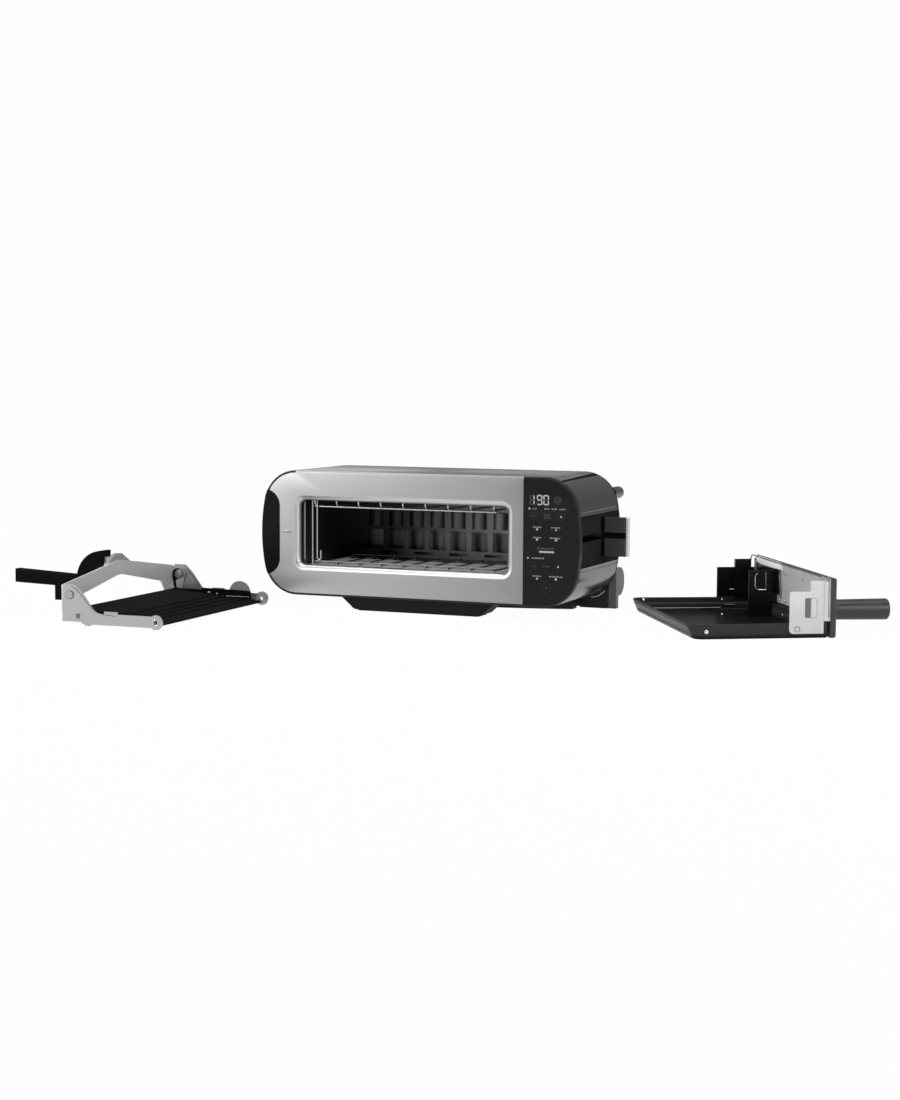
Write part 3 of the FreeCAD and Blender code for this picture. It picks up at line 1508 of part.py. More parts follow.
def tray_bracket_far():
    """The far bracket: a slotted cheek on the side wall with a tall post beside it."""
    body = new_body("tray_bracket_far")
    wall = cell.bracket_sheet
    far = cell.tray_width
    pad(body, "XZ", far - wall, wall,
        box_loop(cell.cheek_back, cell.bracket_front, cell.bracket_low, cell.cheek_top))
    chamfer = 4
    slot_front = cell.cheek_slot_back + cell.cheek_slot_width
    pocket(body, "XZ", far - wall, cell.recess_depth,
           [(cell.cheek_slot_back, cell.slot_low_z), (slot_front - chamfer, cell.slot_low_z),
            (slot_front, cell.slot_low_z + chamfer), (slot_front, cell.slot_high_z - 3),
            (slot_front - 3, cell.slot_high_z), (cell.cheek_slot_back, cell.slot_high_z)])
    pad(body, "XZ", far - wall - 4, 4 + wall,
        box_loop(cell.post_back, cell.post_front, cell.tray_height + 0.4, cell.post_top))
    stand_insert("tray_bracket_far", "tray")


def tray_bracket_inner():
    """A second slotted cheek inside the pan, from its floor to the end plate."""
    body = new_body("tray_bracket_inner")
    wall = cell.bracket_sheet
    level = cell.tray_width - cell.inner_cheek_in
    front_x = as_size(-0.3)
    step_x = -2 - cell.tray_sheet - cell.tray_step - 0.3
    pad(body, "XZ", level, wall,
        [(cell.inner_cheek_back, cell.tray_sheet), (step_x, cell.tray_sheet),
         (step_x, cell.tray_height + 0.4), (front_x, cell.tray_height + 0.4),
         (front_x, cell.inner_cheek_top), (cell.inner_cheek_back, cell.inner_cheek_top)])
    back_x = cell.inner_cheek_back + 9
    chamfer = 4
    pocket(body, "XZ", level, cell.recess_depth,
           [(back_x + chamfer, cell.inner_slot_low), (back_x + 13, cell.inner_slot_low),
            (back_x + 13, cell.inner_slot_high), (back_x + 3, cell.inner_slot_high),
            (back_x, cell.inner_slot_high - 3), (back_x, cell.inner_slot_low + chamfer)])
    stand_insert("tray_bracket_inner", "tray")


def tray_end_plate():
    """The steel plate behind the cover, with a flange that meets the near bracket."""
    body = new_body("tray_end_plate")
    sheet_gap = cell.end_plate_sheet
    drop_y = cell.far_drop_y
    pad(body, "YZ", as_size(0), sheet_gap,
        [(as_size(0), cell.end_plate_low), (cell.tray_width, cell.end_plate_low),
         (cell.tray_width, cell.end_plate_top - cell.far_drop),
         (drop_y, cell.end_plate_top - cell.far_drop), (drop_y, cell.end_plate_top),
         (as_size(0), cell.end_plate_top)])
    for level in (as_size(0), cell.tray_width - sheet_gap):
        pad(body, "XZ", level, sheet_gap,
            box_loop(cell.bracket_front + 0.3, as_size(0.6), cell.end_plate_low,
                     cell.end_plate_top - cell.far_drop))
    holes = [("circle", as_size(y), as_size(z), 2.2)
             for y, z in ((167, 57), (100, 58), (40, 60))]
    pocket(body, "YZ", as_size(0), sheet_gap, *holes)
    stand_insert("tray_end_plate", "tray")


def tray_cover():
    """The dark outer cover, hollow towards the end plate."""
    body = new_body("tray_cover")
    start = cell.end_plate_sheet
    far = cell.tray_width + 1
    low_top = cell.cover_top - cell.far_drop
    pad(body, "YZ", start, cell.cover_thickness,
        [(as_size(-1), cell.cover_low), (far, cell.cover_low), (far, low_top),
         (cell.far_drop_y, low_top), (cell.far_drop_y, cell.cover_top),
         (as_size(-1), cell.cover_top)])
    end = start + cell.cover_thickness
    round_edges(body, cell.cover_round, lambda edge: flat_at(edge, "x", end))
    stand_insert("tray_cover", "tray")


def tray_wire_guard():
    """Two wires along the top edge that meet in a loop beyond the far side, with a drop
    wire down to the end plate."""
    body = new_body("tray_wire_guard")
    radius = cell.guard_wire_radius
    x_front = cell.guard_wire_x
    x_back = cell.guard_wire_x - cell.guard_wire_spread
    far = cell.tray_width + cell.guard_overhang
    pad(body, "XZ", as_size(0), far,
        ("circle", x_front, cell.guard_wire_z, radius),
        ("circle", x_back, cell.guard_wire_z, radius))
    low = cell.end_plate_low + 8
    pad(body, "XY", low, cell.guard_wire_z - low,
        ("circle", x_front, cell.far_drop_y, radius))
    pad(body, "YZ", x_back - radius, cell.guard_wire_spread + radius * 2,
        ("circle", as_size(radius.value), cell.guard_wire_z, radius),
        ("circle", far - radius, cell.guard_wire_z, radius))
    stand_insert("tray_wire_guard", "tray")


def tray_handle():
    """A turned handle that swells a little towards its round end."""
    body = new_body("tray_handle")
    start = cell.end_plate_sheet + cell.cover_thickness
    bend = cell.handle_round
    tip = cell.handle_end_radius
    spin(body, "XZ", cell.tray_width / 2, (0, cell.handle_z),
         [(start, as_size(0)), (cell.handle_end, as_size(0)),
          (cell.handle_end, tip - bend, bend), (cell.handle_end - bend, tip),
          (start, cell.handle_root_radius)])
    stand_insert("tray_handle", "tray")


def tray_rivets():
    """Rivet heads on the outside of the near wall and the inside of the far wall."""
    body = new_body("tray_rivets")
    radius = cell.rivet_radius
    head = cell.rivet_head
    near = cell.bracket_sheet
    pad(body, "XZ", near - head, head, ("circle", as_size(-147), as_size(9), radius))
    pad(body, "XZ", -head, as_size(head), ("circle", as_size(-40), as_size(11), radius + 1))
    inner = cell.tray_width - cell.bracket_sheet - cell.tray_sheet
    straight = cell.tray_length - cell.tray_corner - cell.tray_flare * 0.35 + 2
    slope = cell.tray_spread / (straight + cell.cheek_back)
    for x in (-152, -62):
        seat = inner + slope * (cell.cheek_back - radius - x)
        pad(body, "XZ", seat - head, head, ("circle", as_size(x), as_size(14), radius))
    stand_insert("tray_rivets", "tray")


def build():
    front_frame()
    front_bezel()
    side_grip()
    control_panel()
    display_window()
    control_board()
    top_cover()
    bottom_cover()
    left_end_cover()
    right_end_cover()
    rear_base()
    cavity_liner()
    crumb_guide()
    guard("upper_guard", cell.upper_wire, cell.liner_high, 1)
    guard("lower_guard", cell.lower_wire, cell.liner_low, -1)
    heater("upper_heater", cell.liner_high - cell.heater_wall_gap)
    heater("lower_heater", cell.liner_low + cell.heater_wall_gap)
    heater_holders()
    slot_rest()
    frame_plates()
    guide_rods()
    latch_magnet()
    carriage()
    lever_knob()
    lever_cap()
    crumb_tray()
    crumb_tray_pull()
    front_foot()
    front_foot_pad()
    under_skirt()
    rear_foot("rear_foot_left", -1)
    rear_foot("rear_foot_right", 1)
    rear_foot_pads()
    base_lobe("base_lobe_left", -1)
    base_lobe("base_lobe_right", 1)
    base_bumper("base_bumper_left", -1)
    base_bumper("base_bumper_right", 1)
    cord_gland()
    case_screws()
    press_side("press_side_near", False)
    press_side("press_side_far", True)
    press_roller("press_roller_near", False)
    press_roller("press_roller_far", True)
    press_lower_plate()
    press_pivot_pins()
    press_yoke()
    press_saddle()
    press_handle()
    press_upper_plate()
    grill_tray()
    tray_bracket_near()
    tray_bracket_far()
    tray_bracket_inner()
    tray_end_plate()
    tray_cover()
    tray_wire_guard()
    tray_handle()
    tray_rivets()
    doc.recompute()


def check():
    """Stops when a feature failed or a cut took nothing away."""
    for thing in doc.Objects:
        faults = [state for state in thing.State if state in ("Invalid", "Error")]
        if faults:
            raise RuntimeError(f"{thing.Name} is {faults[0]}")
        if thing.TypeId == "PartDesign::Pocket":
            left = thing.Shape.Volume
            if left > thing.BaseFeature.Shape.Volume - 1e-6:
                raise RuntimeError(f"{thing.Name} cuts nothing")
    for body in parts:
        if body.Shape.isNull() or not body.Shape.isValid():
            raise RuntimeError(f"{body.Label} has no valid shape")


def export():
    os.makedirs("parts", exist_ok=True)
    for body in parts:
        body.Shape.exportStep(f"parts/{body.Label}.step")
    print(len(parts), "parts written")


build()
check()
export()
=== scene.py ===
# %% [markdown]
# # A toaster grill with its press insert and its tray insert
# The CAD model gives every rigid piece its shape and its place. This lesson gives those
# pieces their finishes, adds the small things that a CAD solid leaves out, such as
# printed marks, bead wires and rivet heads, and sets up the studio and the camera.

import json
import math

import bmesh
import bpy
import numpy as np
from mathutils import Matrix

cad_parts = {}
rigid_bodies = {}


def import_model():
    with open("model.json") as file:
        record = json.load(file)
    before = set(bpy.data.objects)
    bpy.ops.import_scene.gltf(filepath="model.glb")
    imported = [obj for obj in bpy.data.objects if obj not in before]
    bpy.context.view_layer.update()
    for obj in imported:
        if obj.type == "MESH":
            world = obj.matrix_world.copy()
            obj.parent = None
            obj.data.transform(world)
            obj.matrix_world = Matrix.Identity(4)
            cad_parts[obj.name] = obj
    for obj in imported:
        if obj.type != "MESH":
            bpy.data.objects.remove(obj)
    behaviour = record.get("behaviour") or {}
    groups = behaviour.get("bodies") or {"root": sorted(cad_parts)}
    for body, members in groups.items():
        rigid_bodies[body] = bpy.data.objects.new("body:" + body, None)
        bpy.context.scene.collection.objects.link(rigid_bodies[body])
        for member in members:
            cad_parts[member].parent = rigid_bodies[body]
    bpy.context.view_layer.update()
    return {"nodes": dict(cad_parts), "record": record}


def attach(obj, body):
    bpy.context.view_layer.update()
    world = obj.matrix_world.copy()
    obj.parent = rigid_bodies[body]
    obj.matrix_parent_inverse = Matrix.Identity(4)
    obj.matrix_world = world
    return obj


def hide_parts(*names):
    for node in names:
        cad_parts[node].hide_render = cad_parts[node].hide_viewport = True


for leftover in list(bpy.data.objects):
    bpy.data.objects.remove(leftover)
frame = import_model()
solid = frame["nodes"]
print("pieces in the model:", len(solid))

# %% [markdown]
# ## The two inserts have frames of their own
# The press insert and the tray insert stand at an angle to the case. It is easier to
# think of them square, so each has a small frame: a runs along the way the insert
# slides in, b runs from its near side to its far side, and z is up. The frames take
# points in millimetres and give their places in the room in metres.

# %% Frames of the inserts
MM = 0.001


class Stand:
    """place = start + a * (cos t, sin t) + b * (-sin t, cos t), with z unchanged."""

    def __init__(self, start, turn_degrees):
        turn = math.radians(turn_degrees)
        self.start = np.array([*start, 0.0])
        self.along = np.array([math.cos(turn), math.sin(turn), 0.0])
        self.across = np.array([-math.sin(turn), math.cos(turn), 0.0])

    def place(self, a, b, z):
        a, b, z = (np.asarray(value, float)[..., None] for value in (a, b, z))
        return (self.start + a * self.along + b * self.across + z * np.array([0, 0, 1])) * MM


case = Stand((0.0, 0.0), 0.0)
press = Stand((-214.8, -356.3), 1.65)
tray = Stand((531.3, -88.9), 31.2)
print("press insert starts at", press.place(0, 0, 0).round(3))

# %% [markdown]
# ## Surfaces from grids of points
# Every new piece is a grid of points worked out in one go with numpy, with a face
# between each four neighbours. It can close on itself like a tube, or end in flat caps.

# %% Grid to mesh
def grid_faces(rows, columns, wrap):
    """Faces (r, c), (r, c+1), (r+1, c+1), (r+1, c); with wrap the last column meets
    the first."""
    spans = columns if wrap else columns - 1
    r, c = np.meshgrid(np.arange(rows - 1), np.arange(spans), indexing="ij")
    after = (c + 1) % columns
    corners = [r * columns + c, r * columns + after,
               (r + 1) * columns + after, (r + 1) * columns + c]
    return np.stack(corners, -1).reshape(-1, 4).tolist()


def new_object(name, points, faces, finish):
    """Makes the mesh and its object in the room, shaded round all over."""
    mesh = bpy.data.meshes.new(name)
    mesh.from_pydata(points.reshape(-1, 3).tolist(), [], faces)
    mesh.polygons.foreach_set("use_smooth", [True] * len(mesh.polygons))
    mesh.materials.append(finish)
    made = bpy.data.objects.new(name, mesh)
    bpy.context.scene.collection.objects.link(made)
    return made


def add_piece(name, points, faces, body, finish, slot, crisp=35):
    """Makes a piece that rides on a CAD body. Its faces are turned outward, and edges
    that turn more than crisp degrees stay sharp."""
    piece = new_object(name, points, faces, FINISH[finish])
    shell = bmesh.new()
    shell.from_mesh(piece.data)
    bmesh.ops.recalc_face_normals(shell, faces=shell.faces)
    shell.to_mesh(piece.data)
    shell.free()
    piece.data.set_sharp_from_angle(angle=math.radians(crisp))
    piece.data.validate()
    piece.data.update()
    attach(piece, body)
    return piece


def together(shapes):
    """Joins (points, faces) pairs into one pair; each shape's faces are numbered on."""
    points, faces, start = [], [], 0
    for shape_points, shape_faces in shapes:
        flat = np.asarray(shape_points).reshape(-1, 3)
        points.append(flat)
        faces += [[start + corner for corner in face] for face in shape_faces]
        start += len(flat)
    return np.concatenate(points), faces


def capped_tube(points):
    """Faces for rings of points that follow each other, with a flat cap at each end."""
    rows, columns = points.shape[:2]
    first = list(range(columns))[::-1]
    last = list(range((rows - 1) * columns, rows * columns))
    return grid_faces(rows, columns, True) + [first, last]


def closed_faces(rows, columns):
    """Faces of a grid that closes both ways: the last row meets the first."""
    around = np.arange(columns)
    after = np.roll(around, -1)
    last = (rows - 1) * columns
    seam = np.stack([last + around, last + after, after, around], -1)
    return grid_faces(rows, columns, True) + seam.tolist()


def unit(vectors):
    """Vectors of length 1, along the last axis."""
    vectors = np.asarray(vectors, float)
    return vectors / (np.linalg.norm(vectors, axis=-1, keepdims=True) + 1e-12)


def once_round(sides):
    return np.linspace(0, 2 * np.pi, sides, endpoint=False)


def wire_rings(path, radius, sides=10):
    """Rings round a path: centre + radius * (cos t * n + sin t * m), where n and m are
    at right angles to the path and are carried along it without twist."""
    ahead = unit(np.gradient(path, axis=0))
    normals = [unit(np.cross(ahead[0], [0.3, 0.5, 0.81]))]
    for direction in ahead[1:]:
        normals.append(unit(normals[-1] - direction * np.dot(normals[-1], direction)))
    normal = np.array(normals)
    side = np.cross(ahead, normal)
    turn = once_round(sides)[None, :, None]
    return path[:, None] + radius * (np.cos(turn) * normal[:, None]
                                     + np.sin(turn) * side[:, None])


def dome(centre, outward, radius, height, rings=6, sides=24):
    """A rivet head: at share s of the radius the height is height * sqrt(1 - s^2)."""
    outward = unit(outward)
    helper = unit(np.cross(outward, [0.1, 0.2, 0.97]))
    other = np.cross(outward, helper)
    share = np.sin(np.linspace(np.pi / 2, 0.02, rings))[:, None, None]
    lift = np.sqrt(np.clip(1 - share ** 2, 0, 1)) * height
    turn = once_round(sides)[None, :, None]
    around = np.cos(turn) * helper + np.sin(turn) * other
    return centre + radius * share * around + lift * outward


print("a tube of 5 rings has", len(capped_tube(np.zeros((5, 8, 3)))), "faces")

# %% [markdown]
# ## Finishes
# A finish starts from one Principled shader. What changes over the surface, such as
# brushing, moulding grain or a smear of oil, comes from noise on Object coordinates, so
# the pattern stays on the piece when it moves. Numbers that are the same all over go
# on the shader's own sockets.

# %% Nodes
NOISE_LOW, NOISE_HIGH = 0.12, 0.88
EVEN = (1, 1, 1)


def add_node(tree, kind, feeds=None, **settings):
    """Adds a shader node. feeds gives what goes into its sockets: another node's output
    is linked, and a plain value is set."""
    node = tree.nodes.new("ShaderNode" + kind)
    for setting, value in settings.items():
        setattr(node, setting, value)
    for socket, source in (feeds or {}).items():
        if isinstance(source, bpy.types.NodeSocket):
            tree.links.new(source, node.inputs[socket])
        else:
            node.inputs[socket].default_value = source
    return node


def noise(tree, stretch, scale, detail, rough=0.55):
    """Noise on Object coordinates, stretched differently along each axis."""
    place = add_node(tree, "TexCoord").outputs["Object"]
    mapping = add_node(tree, "Mapping", {"Vector": place, "Scale": stretch})
    return add_node(tree, "TexNoise", {"Vector": mapping.outputs["Vector"], "Scale": scale,
                                       "Detail": detail, "Roughness": rough}).outputs["Fac"]


def spread(tree, pattern, low, high):
    """Maps the noise between two numbers."""
    return add_node(tree, "MapRange", {
        "Value": pattern, "From Min": NOISE_LOW, "From Max": NOISE_HIGH,
        "To Min": low, "To Max": high}).outputs["Result"]


def tint(tree, pattern, dark, light):
    """Runs from a dark to a light colour with the noise."""
    ramp = add_node(tree, "ValToRGB", {"Fac": pattern})
    first, last = ramp.color_ramp.elements
    first.position, first.color = NOISE_LOW, (*dark, 1)
    last.position, last.color = NOISE_HIGH, (*light, 1)
    return ramp.outputs["Color"]


def grey(level, warm=0.0):
    return (level * (1 + warm), level, level * (1 - warm))


def start_finish(name, level, roughness, mirror=0.5, metallic=0.0):
    finish = bpy.data.materials.new(name)
    finish.use_nodes = True
    finish.diffuse_color = (*grey(level), 1)
    shader = finish.node_tree.nodes["Principled BSDF"]
    for socket, value in (("Base Color", (*grey(level), 1)), ("Roughness", roughness),
                          ("Specular IOR Level", mirror), ("Metallic", metallic)):
        shader.inputs[socket].default_value = value
    return finish, finish.node_tree, shader


# %% The kinds of finish
def grained(name, level, roughness, tone, gloss, relief, mirror=0.5, metallic=0.0, warm=0.0):
    """tone is a noise and the shares of the level that it runs between, gloss the same
    for the roughness, and relief is a noise, the depth of its bumps and their strength."""
    finish, tree, shader = start_finish(name, level, roughness, mirror, metallic)
    pattern, low, high = tone
    tree.links.new(tint(tree, noise(tree, *pattern), grey(level * low, warm),
                        grey(level * high, warm)), shader.inputs["Base Color"])
    pattern, low, high = gloss
    tree.links.new(spread(tree, noise(tree, *pattern), roughness * low, roughness * high),
                   shader.inputs["Roughness"])
    pattern, depth, strength = relief
    bump = add_node(tree, "Bump", {"Height": noise(tree, *pattern), "Distance": depth,
                                   "Strength": strength})
    tree.links.new(bump.outputs["Normal"], shader.inputs["Normal"])
    return finish


def brushed(name, level, roughness, stretch, depth=0.00002, contrast=0.06):
    """Brushed metal: long fine streaks in its colour, its roughness and its relief."""
    streaks, clouds = (stretch, 1.0, 6.0, 0.7), ((9, 9, 9), 1.0, 2.0)
    finish = grained(name, level, roughness, (streaks, 1 - contrast, 1 + contrast),
                     (clouds, 0.85, 1.2), (streaks, depth, 1.0), metallic=1.0, warm=0.004)
    finish.node_tree.nodes["Principled BSDF"].inputs["Anisotropic"].default_value = 0.5
    return finish


def moulded(name, level, roughness, mirror=0.35, grain=1400.0, depth=0.00006):
    """Moulded plastic: an even dark colour with the fine pebble of the mould."""
    clouds = (EVEN, 24.0, 2.0)
    return grained(name, level, roughness, (clouds, 0.88, 1.12), (clouds, 0.9, 1.1),
                   ((EVEN, grain, 3.0), depth, 1.0), mirror)


def polished(name, level, roughness, mirror=0.5):
    """Polished plastic: a dark body with a mirror-like skin and a very slight ripple."""
    smear = (EVEN, 60.0, 5.0)
    return grained(name, level, roughness, (smear, 0.85, 1.2), (smear, 0.7, 1.4),
                   ((EVEN, 18.0, 1.0), 0.0001, 0.35), mirror)


def coated(name, level, roughness, mirror):
    """Non-stick coating: near black and slightly speckled, with a soft orange peel."""
    peel = (EVEN, 420.0, 2.0)
    return grained(name, level, roughness, ((EVEN, 2600.0, 2.0), 0.7, 1.5),
                   (peel, 0.8, 1.25), (peel, 0.00008, 0.6), mirror)


def backlit_print_and_painted_glow(name, level, light):
    """Print that is lit from behind: pale ink of uneven density with a little light. The same
    glow also serves as painted light on the slot's floor sheet and as a painted glare strip
    on the tray's end plate.
    """
    finish, tree, shader = start_finish(name, level, 0.5, mirror=0.1)
    shader.inputs["Emission Color"].default_value = (1, 1, 1, 1)
    shader.inputs["Emission Strength"].default_value = light
    ink = noise(tree, EVEN, 900.0, 3.0)
    tree.links.new(tint(tree, ink, grey(level * 0.8), grey(level * 1.2)),
                   shader.inputs["Base Color"])
    return finish


def object_place(tree, axis):
    place = add_node(tree, "TexCoord").outputs["Object"]
    return add_node(tree, "SeparateXYZ", {0: place}).outputs[axis]


def paint_light_falloff(finish, axis, start, stop, low, high):
    """Painted light and shade: multiplies the colour by a number that runs from low to high
    between two places along one Object axis, standing in for light that falls off over a long
    sheet."""
    tree = finish.node_tree
    colour = tree.nodes["Principled BSDF"].inputs["Base Color"]
    share = add_node(tree, "MapRange", {
        "Value": object_place(tree, axis), "From Min": start, "From Max": stop,
        "To Min": low, "To Max": high}).outputs["Result"]
    product = add_node(tree, "VectorMath", {0: colour.links[0].from_socket, "Scale": share},
                       operation="SCALE")
    tree.links.new(product.outputs["Vector"], colour)


def banded(finish, low, high, inside, outside):
    """A different strength of reflection between two heights: 1 where Z lies within half
    the band's height of its middle, else 0, mapped to the two strengths."""
    tree = finish.node_tree
    within = add_node(tree, "Math", {0: object_place(tree, "Z"), 1: (low + high) / 2,
                                     2: (high - low) / 2}, operation="COMPARE")
    strength = add_node(tree, "MapRange", {"Value": within.outputs[0], "To Min": outside,
                                           "To Max": inside})
    tree.links.new(strength.outputs["Result"],
                   tree.nodes["Principled BSDF"].inputs["Specular IOR Level"])


# %% [markdown]
# ## The finishes of this object
# Nearly all is black, white or grey: brushed steel, matt and polished black plastic,
# black non-stick coating and bare steel sheet. They differ mostly in gloss. Each row
# gives the grey level, the roughness and what else its kind of finish asks for.

# %% Name the finishes
along_x = (14.0, 700.0, 700.0)
along_y = (700.0, 14.0, 700.0)
along_z = (700.0, 700.0, 14.0)
KINDS = ((brushed, {
    "bezel_steel": (0.56, 0.44, along_x, 0.00001, 0.04),
    "cover_steel": (0.56, 0.45, along_x, 0.00001),
    "liner_steel": (0.1, 0.4, along_x, 0.00002, 0.25),
    "inner_steel": (0.1, 0.4, along_y),
    "press_steel": (0.5, 0.5, along_x),
    "carriage_steel": (0.22, 0.35, along_z),
    "guide_steel": (0.22, 0.4, along_z),
    "guard_wire": (0.5, 0.22, along_x),
    "wire_dark": (0.3, 0.25, along_x),
    "rod_steel": (0.5, 0.3, along_y),
    "heater_sheath": (0.06, 0.6, along_x, 0.00002, 0.4),
    "tray_tin": (0.16, 0.45, along_x),
    "cap_silver": (0.8, 0.25, along_z),
    # Painted light: the yoke's steel is a lighter copy of the press steel, standing in for the
    # light on its side.
    "yoke_steel_lit": (0.75, 0.6, along_x, 0.00001),
    "lip_steel": (0.6, 0.36, along_x, 0.000001, 0.03),
    "rivet_steel": (0.85, 0.18, along_z),
    "ridge_steel": (0.45, 0.3, along_z),
}), (moulded, {
    "bracket_steel": (0.76, 0.5),
    "plate_grey": (0.74, 0.45),
    "magnet_iron": (0.03, 0.6),
    "frame_black": (0.008, 0.45),
    "foot_black": (0.006, 0.6, 0.15),
    "lobe_grey": (0.17, 0.5),
    "cover_grey": (0.045, 0.5),
    "foot_rubber": (0.012, 0.85, 0.35, 900.0, 0.0001),
    "ceramic": (0.4, 0.7, 0.35, 800.0),
    "board_green": (0.05, 0.5),
    "plate_black": (0.006, 0.7, 0.03),
    "deep_black": (0.002, 0.8, 0.1),
}), (polished, {
    "gloss_black": (0.006, 0.13),
    "end_black": (0.026, 0.16),
    "grip_round": (0.012, 0.3, 0.7),
    "knob_black": (0.06, 0.2, 0.35),
    "grip_black": (0.005, 0.2, 0.12),
    "panel_black": (0.004, 0.08, 0.2),
    "display_black": (0.005, 0.05, 0.22),
}), (coated, {
    "coated_black": (0.006, 0.3, 0.3),
    "pan_black": (0.02, 0.3, 0.1),
}), (backlit_print_and_painted_glow, {
    "sheet_bright": (0.8, 0.3),
    "floor_steel": (0.8, 0.1),
    "mark_lit": (0.36, 0.17),
    "mark_bright": (0.36, 0.12),
    "mark_label": (0.2, 0.03),
    "mark_dim": (0.06, 0.01),
    "mark_faint": (0.03, 0.0),
}))
# Painted light and shade: the steel front and the steel wrap darken to the right, the carriage
# and the crumb guide darken to the left inside the slot, the pan is darker on its floor and
# lighter up its walls, and the lip is brighter along its lower edge as a painted highlight.
PAINTED_FALLOFF = {
    "bezel_steel": ("X", -0.14, 0.14, 0.98, 0.62),
    "cover_steel": ("X", -0.1, 0.2, 1.0, 0.5),
    "carriage_steel": ("X", -0.1, 0.12, 0.08, 1.0),
    "guide_steel": ("X", -0.08, 0.1, 0.14, 1.0),
    "pan_black": ("Z", 0.002, 0.006, 0.25, 1.8),
    "lip_steel": ("Z", 0.05, 0.07, 1.5, 1.0),
}
FINISH = {name: make(name, *row) for make, rows in KINDS for name, row in rows.items()}
for name, falloff in PAINTED_FALLOFF.items():
    paint_light_falloff(FINISH[name], *falloff)
banded(FINISH["end_black"], 0.0655, 0.1301, 0.0, 0.75)
print("finishes:", len(FINISH))

# %% Give every CAD piece its finish
slot_of = {part["node"]: part["material_slot"] for part in frame["record"]["subparts"]}
SPECIAL = {
    "tray_bracket_near": "bracket_steel",
    "tray_cover": "cover_grey",
    "lever_knob": "knob_black",
    "side_grip": "grip_black",
    "front_foot": "foot_black",
    "right_end_cover": "end_black",
    "crumb_guide": "guide_steel",
    "base_bumper_right": "knob_black",
    "press_upper_plate": "plate_black",
    "press_handle": "plate_black",
    "press_yoke": "yoke_steel_lit",
    "press_pivot_pins": "ridge_steel",
    "tray_handle": "grip_round",
    "lower_guard": "wire_dark",
}
for name, piece in solid.items():
    finish = FINISH[SPECIAL.get(name, slot_of[name])]
    for holder in piece.material_slots:
        holder.material = finish
    if not piece.material_slots:
        piece.data.materials.append(finish)

# %% [markdown]
# ## Corners, slabs and tubes
# Most small parts here are sheet metal: an outline with round corners and an even
# thickness. Each corner is replaced by an arc, and the sheet's edges are broken by a
# fraction of a millimetre, because it is the broken edge that catches the light.

# %% Outline helpers
def rounded(corners, sides=7):
    """Corners are (u, v, radius). From each corner the arc's two ends lie at
    radius / tan(half the angle), its centre at radius / sin(half the angle), and points
    run between the ends on the circle."""
    corners = np.asarray(corners, float)
    here, radius = corners[:, :2], corners[:, 2:3]
    back = unit(np.roll(here, 1, axis=0) - here)
    ahead = unit(np.roll(here, -1, axis=0) - here)
    half = np.arccos(np.clip((back * ahead).sum(1), -1, 1))[:, None] / 2
    centre = here + unit(back + ahead) * radius / np.sin(half)
    reach = radius / np.tan(half)
    first, last = here + back * reach - centre, here + ahead * reach - centre
    span = (np.pi - 2 * half)[:, None]
    share = np.linspace(0, 1, sides)[None, :, None]
    arc = (np.sin((1 - share) * span) * first[:, None]
           + np.sin(share * span) * last[:, None]) / np.sin(span)
    return (centre[:, None] + arc).reshape(-1, 2)


def drawn_in(outline, width):
    """Every point moves inward by width along the mean of its two edges' normals."""
    edge = unit(np.roll(outline, -1, axis=0) - outline)
    normal = np.stack([-edge[:, 1], edge[:, 0]], -1)
    mean = unit(normal + np.roll(normal, 1, axis=0))
    turned = np.sign((outline[:, 0] * np.roll(outline[:, 1], -1)
                      - outline[:, 1] * np.roll(outline[:, 0], -1)).sum())
    return outline + mean * width * turned


def slab(corners, low, high, place, edge=0.25, sides=7):
    """A sheet from level low to level high with the given outline and broken edges.
    place(u, v, level) gives the points in the room."""
    outline = rounded(corners, sides)
    small = drawn_in(outline, edge)
    rings = [(small, low), (outline, low + edge), (outline, high - edge), (small, high)]
    points = np.stack([place(*ring.T, level) for ring, level in rings])
    return points, capped_tube(points)


def bent_tube(corners, radius, bend, place, sides=10, steps=7):
    """A round wire whose corners are arcs. It goes through the first and last corner."""
    corners = np.asarray(corners, float)
    path = [corners[:1]]
    for before, corner, after in zip(corners[:-2], corners[1:-1], corners[2:]):
        inward, onward = before - corner, after - corner
        room = min(bend, np.linalg.norm(inward) * 0.49, np.linalg.norm(onward) * 0.49)
        start, stop = corner + unit(inward) * room, corner + unit(onward) * room
        share = np.linspace(0, 1, steps)[:, None]
        path.append((1 - share) ** 2 * start + 2 * share * (1 - share) * corner
                    + share ** 2 * stop)
    path.append(corners[-1:])
    points = wire_rings(place(*np.concatenate(path).T), radius * MM, sides)
    return points, capped_tube(points)


def wire_set(place, *rows):
    """Rows are (radius, bend, corners): the wires that make up one piece."""
    return together([bent_tube(corners, radius, bend, place)
                     for radius, bend, corners in rows])


def ring_on(stand, u, v, level, radius, thick, sides=48):
    """A round bead: the circle of radius about an axis that runs across the stand."""
    turn, around = once_round(sides), once_round(10)[:, None]
    reach = radius + thick * np.cos(around)
    points = stand.place(u + reach * np.cos(turn), v + thick * np.sin(around) + 0 * turn,
                         level + reach * np.sin(turn))
    return points, closed_faces(10, sides)


def facing(stand, depth):
    """An upright plane of a stand: u runs along, v up, and level toward the near side."""
    return lambda u, v, level: stand.place(u, depth - level, v)


def oblong(left, low, right, high, bend):
    return [(left, low, bend), (right, low, bend), (right, high, bend), (left, high, bend)]


FRONT_Y = -79.0
on_front = facing(case, FRONT_Y)

# %% [markdown]
# ## The steel front
# The front is one pressed sheet. Its outer edge turns back a little, most of all along
# the top, and at the slot it rolls inward over a large radius. It is a closed grid: one
# way round the slot, the other way from the outer edge over the face, down the lip and
# back along the rear.

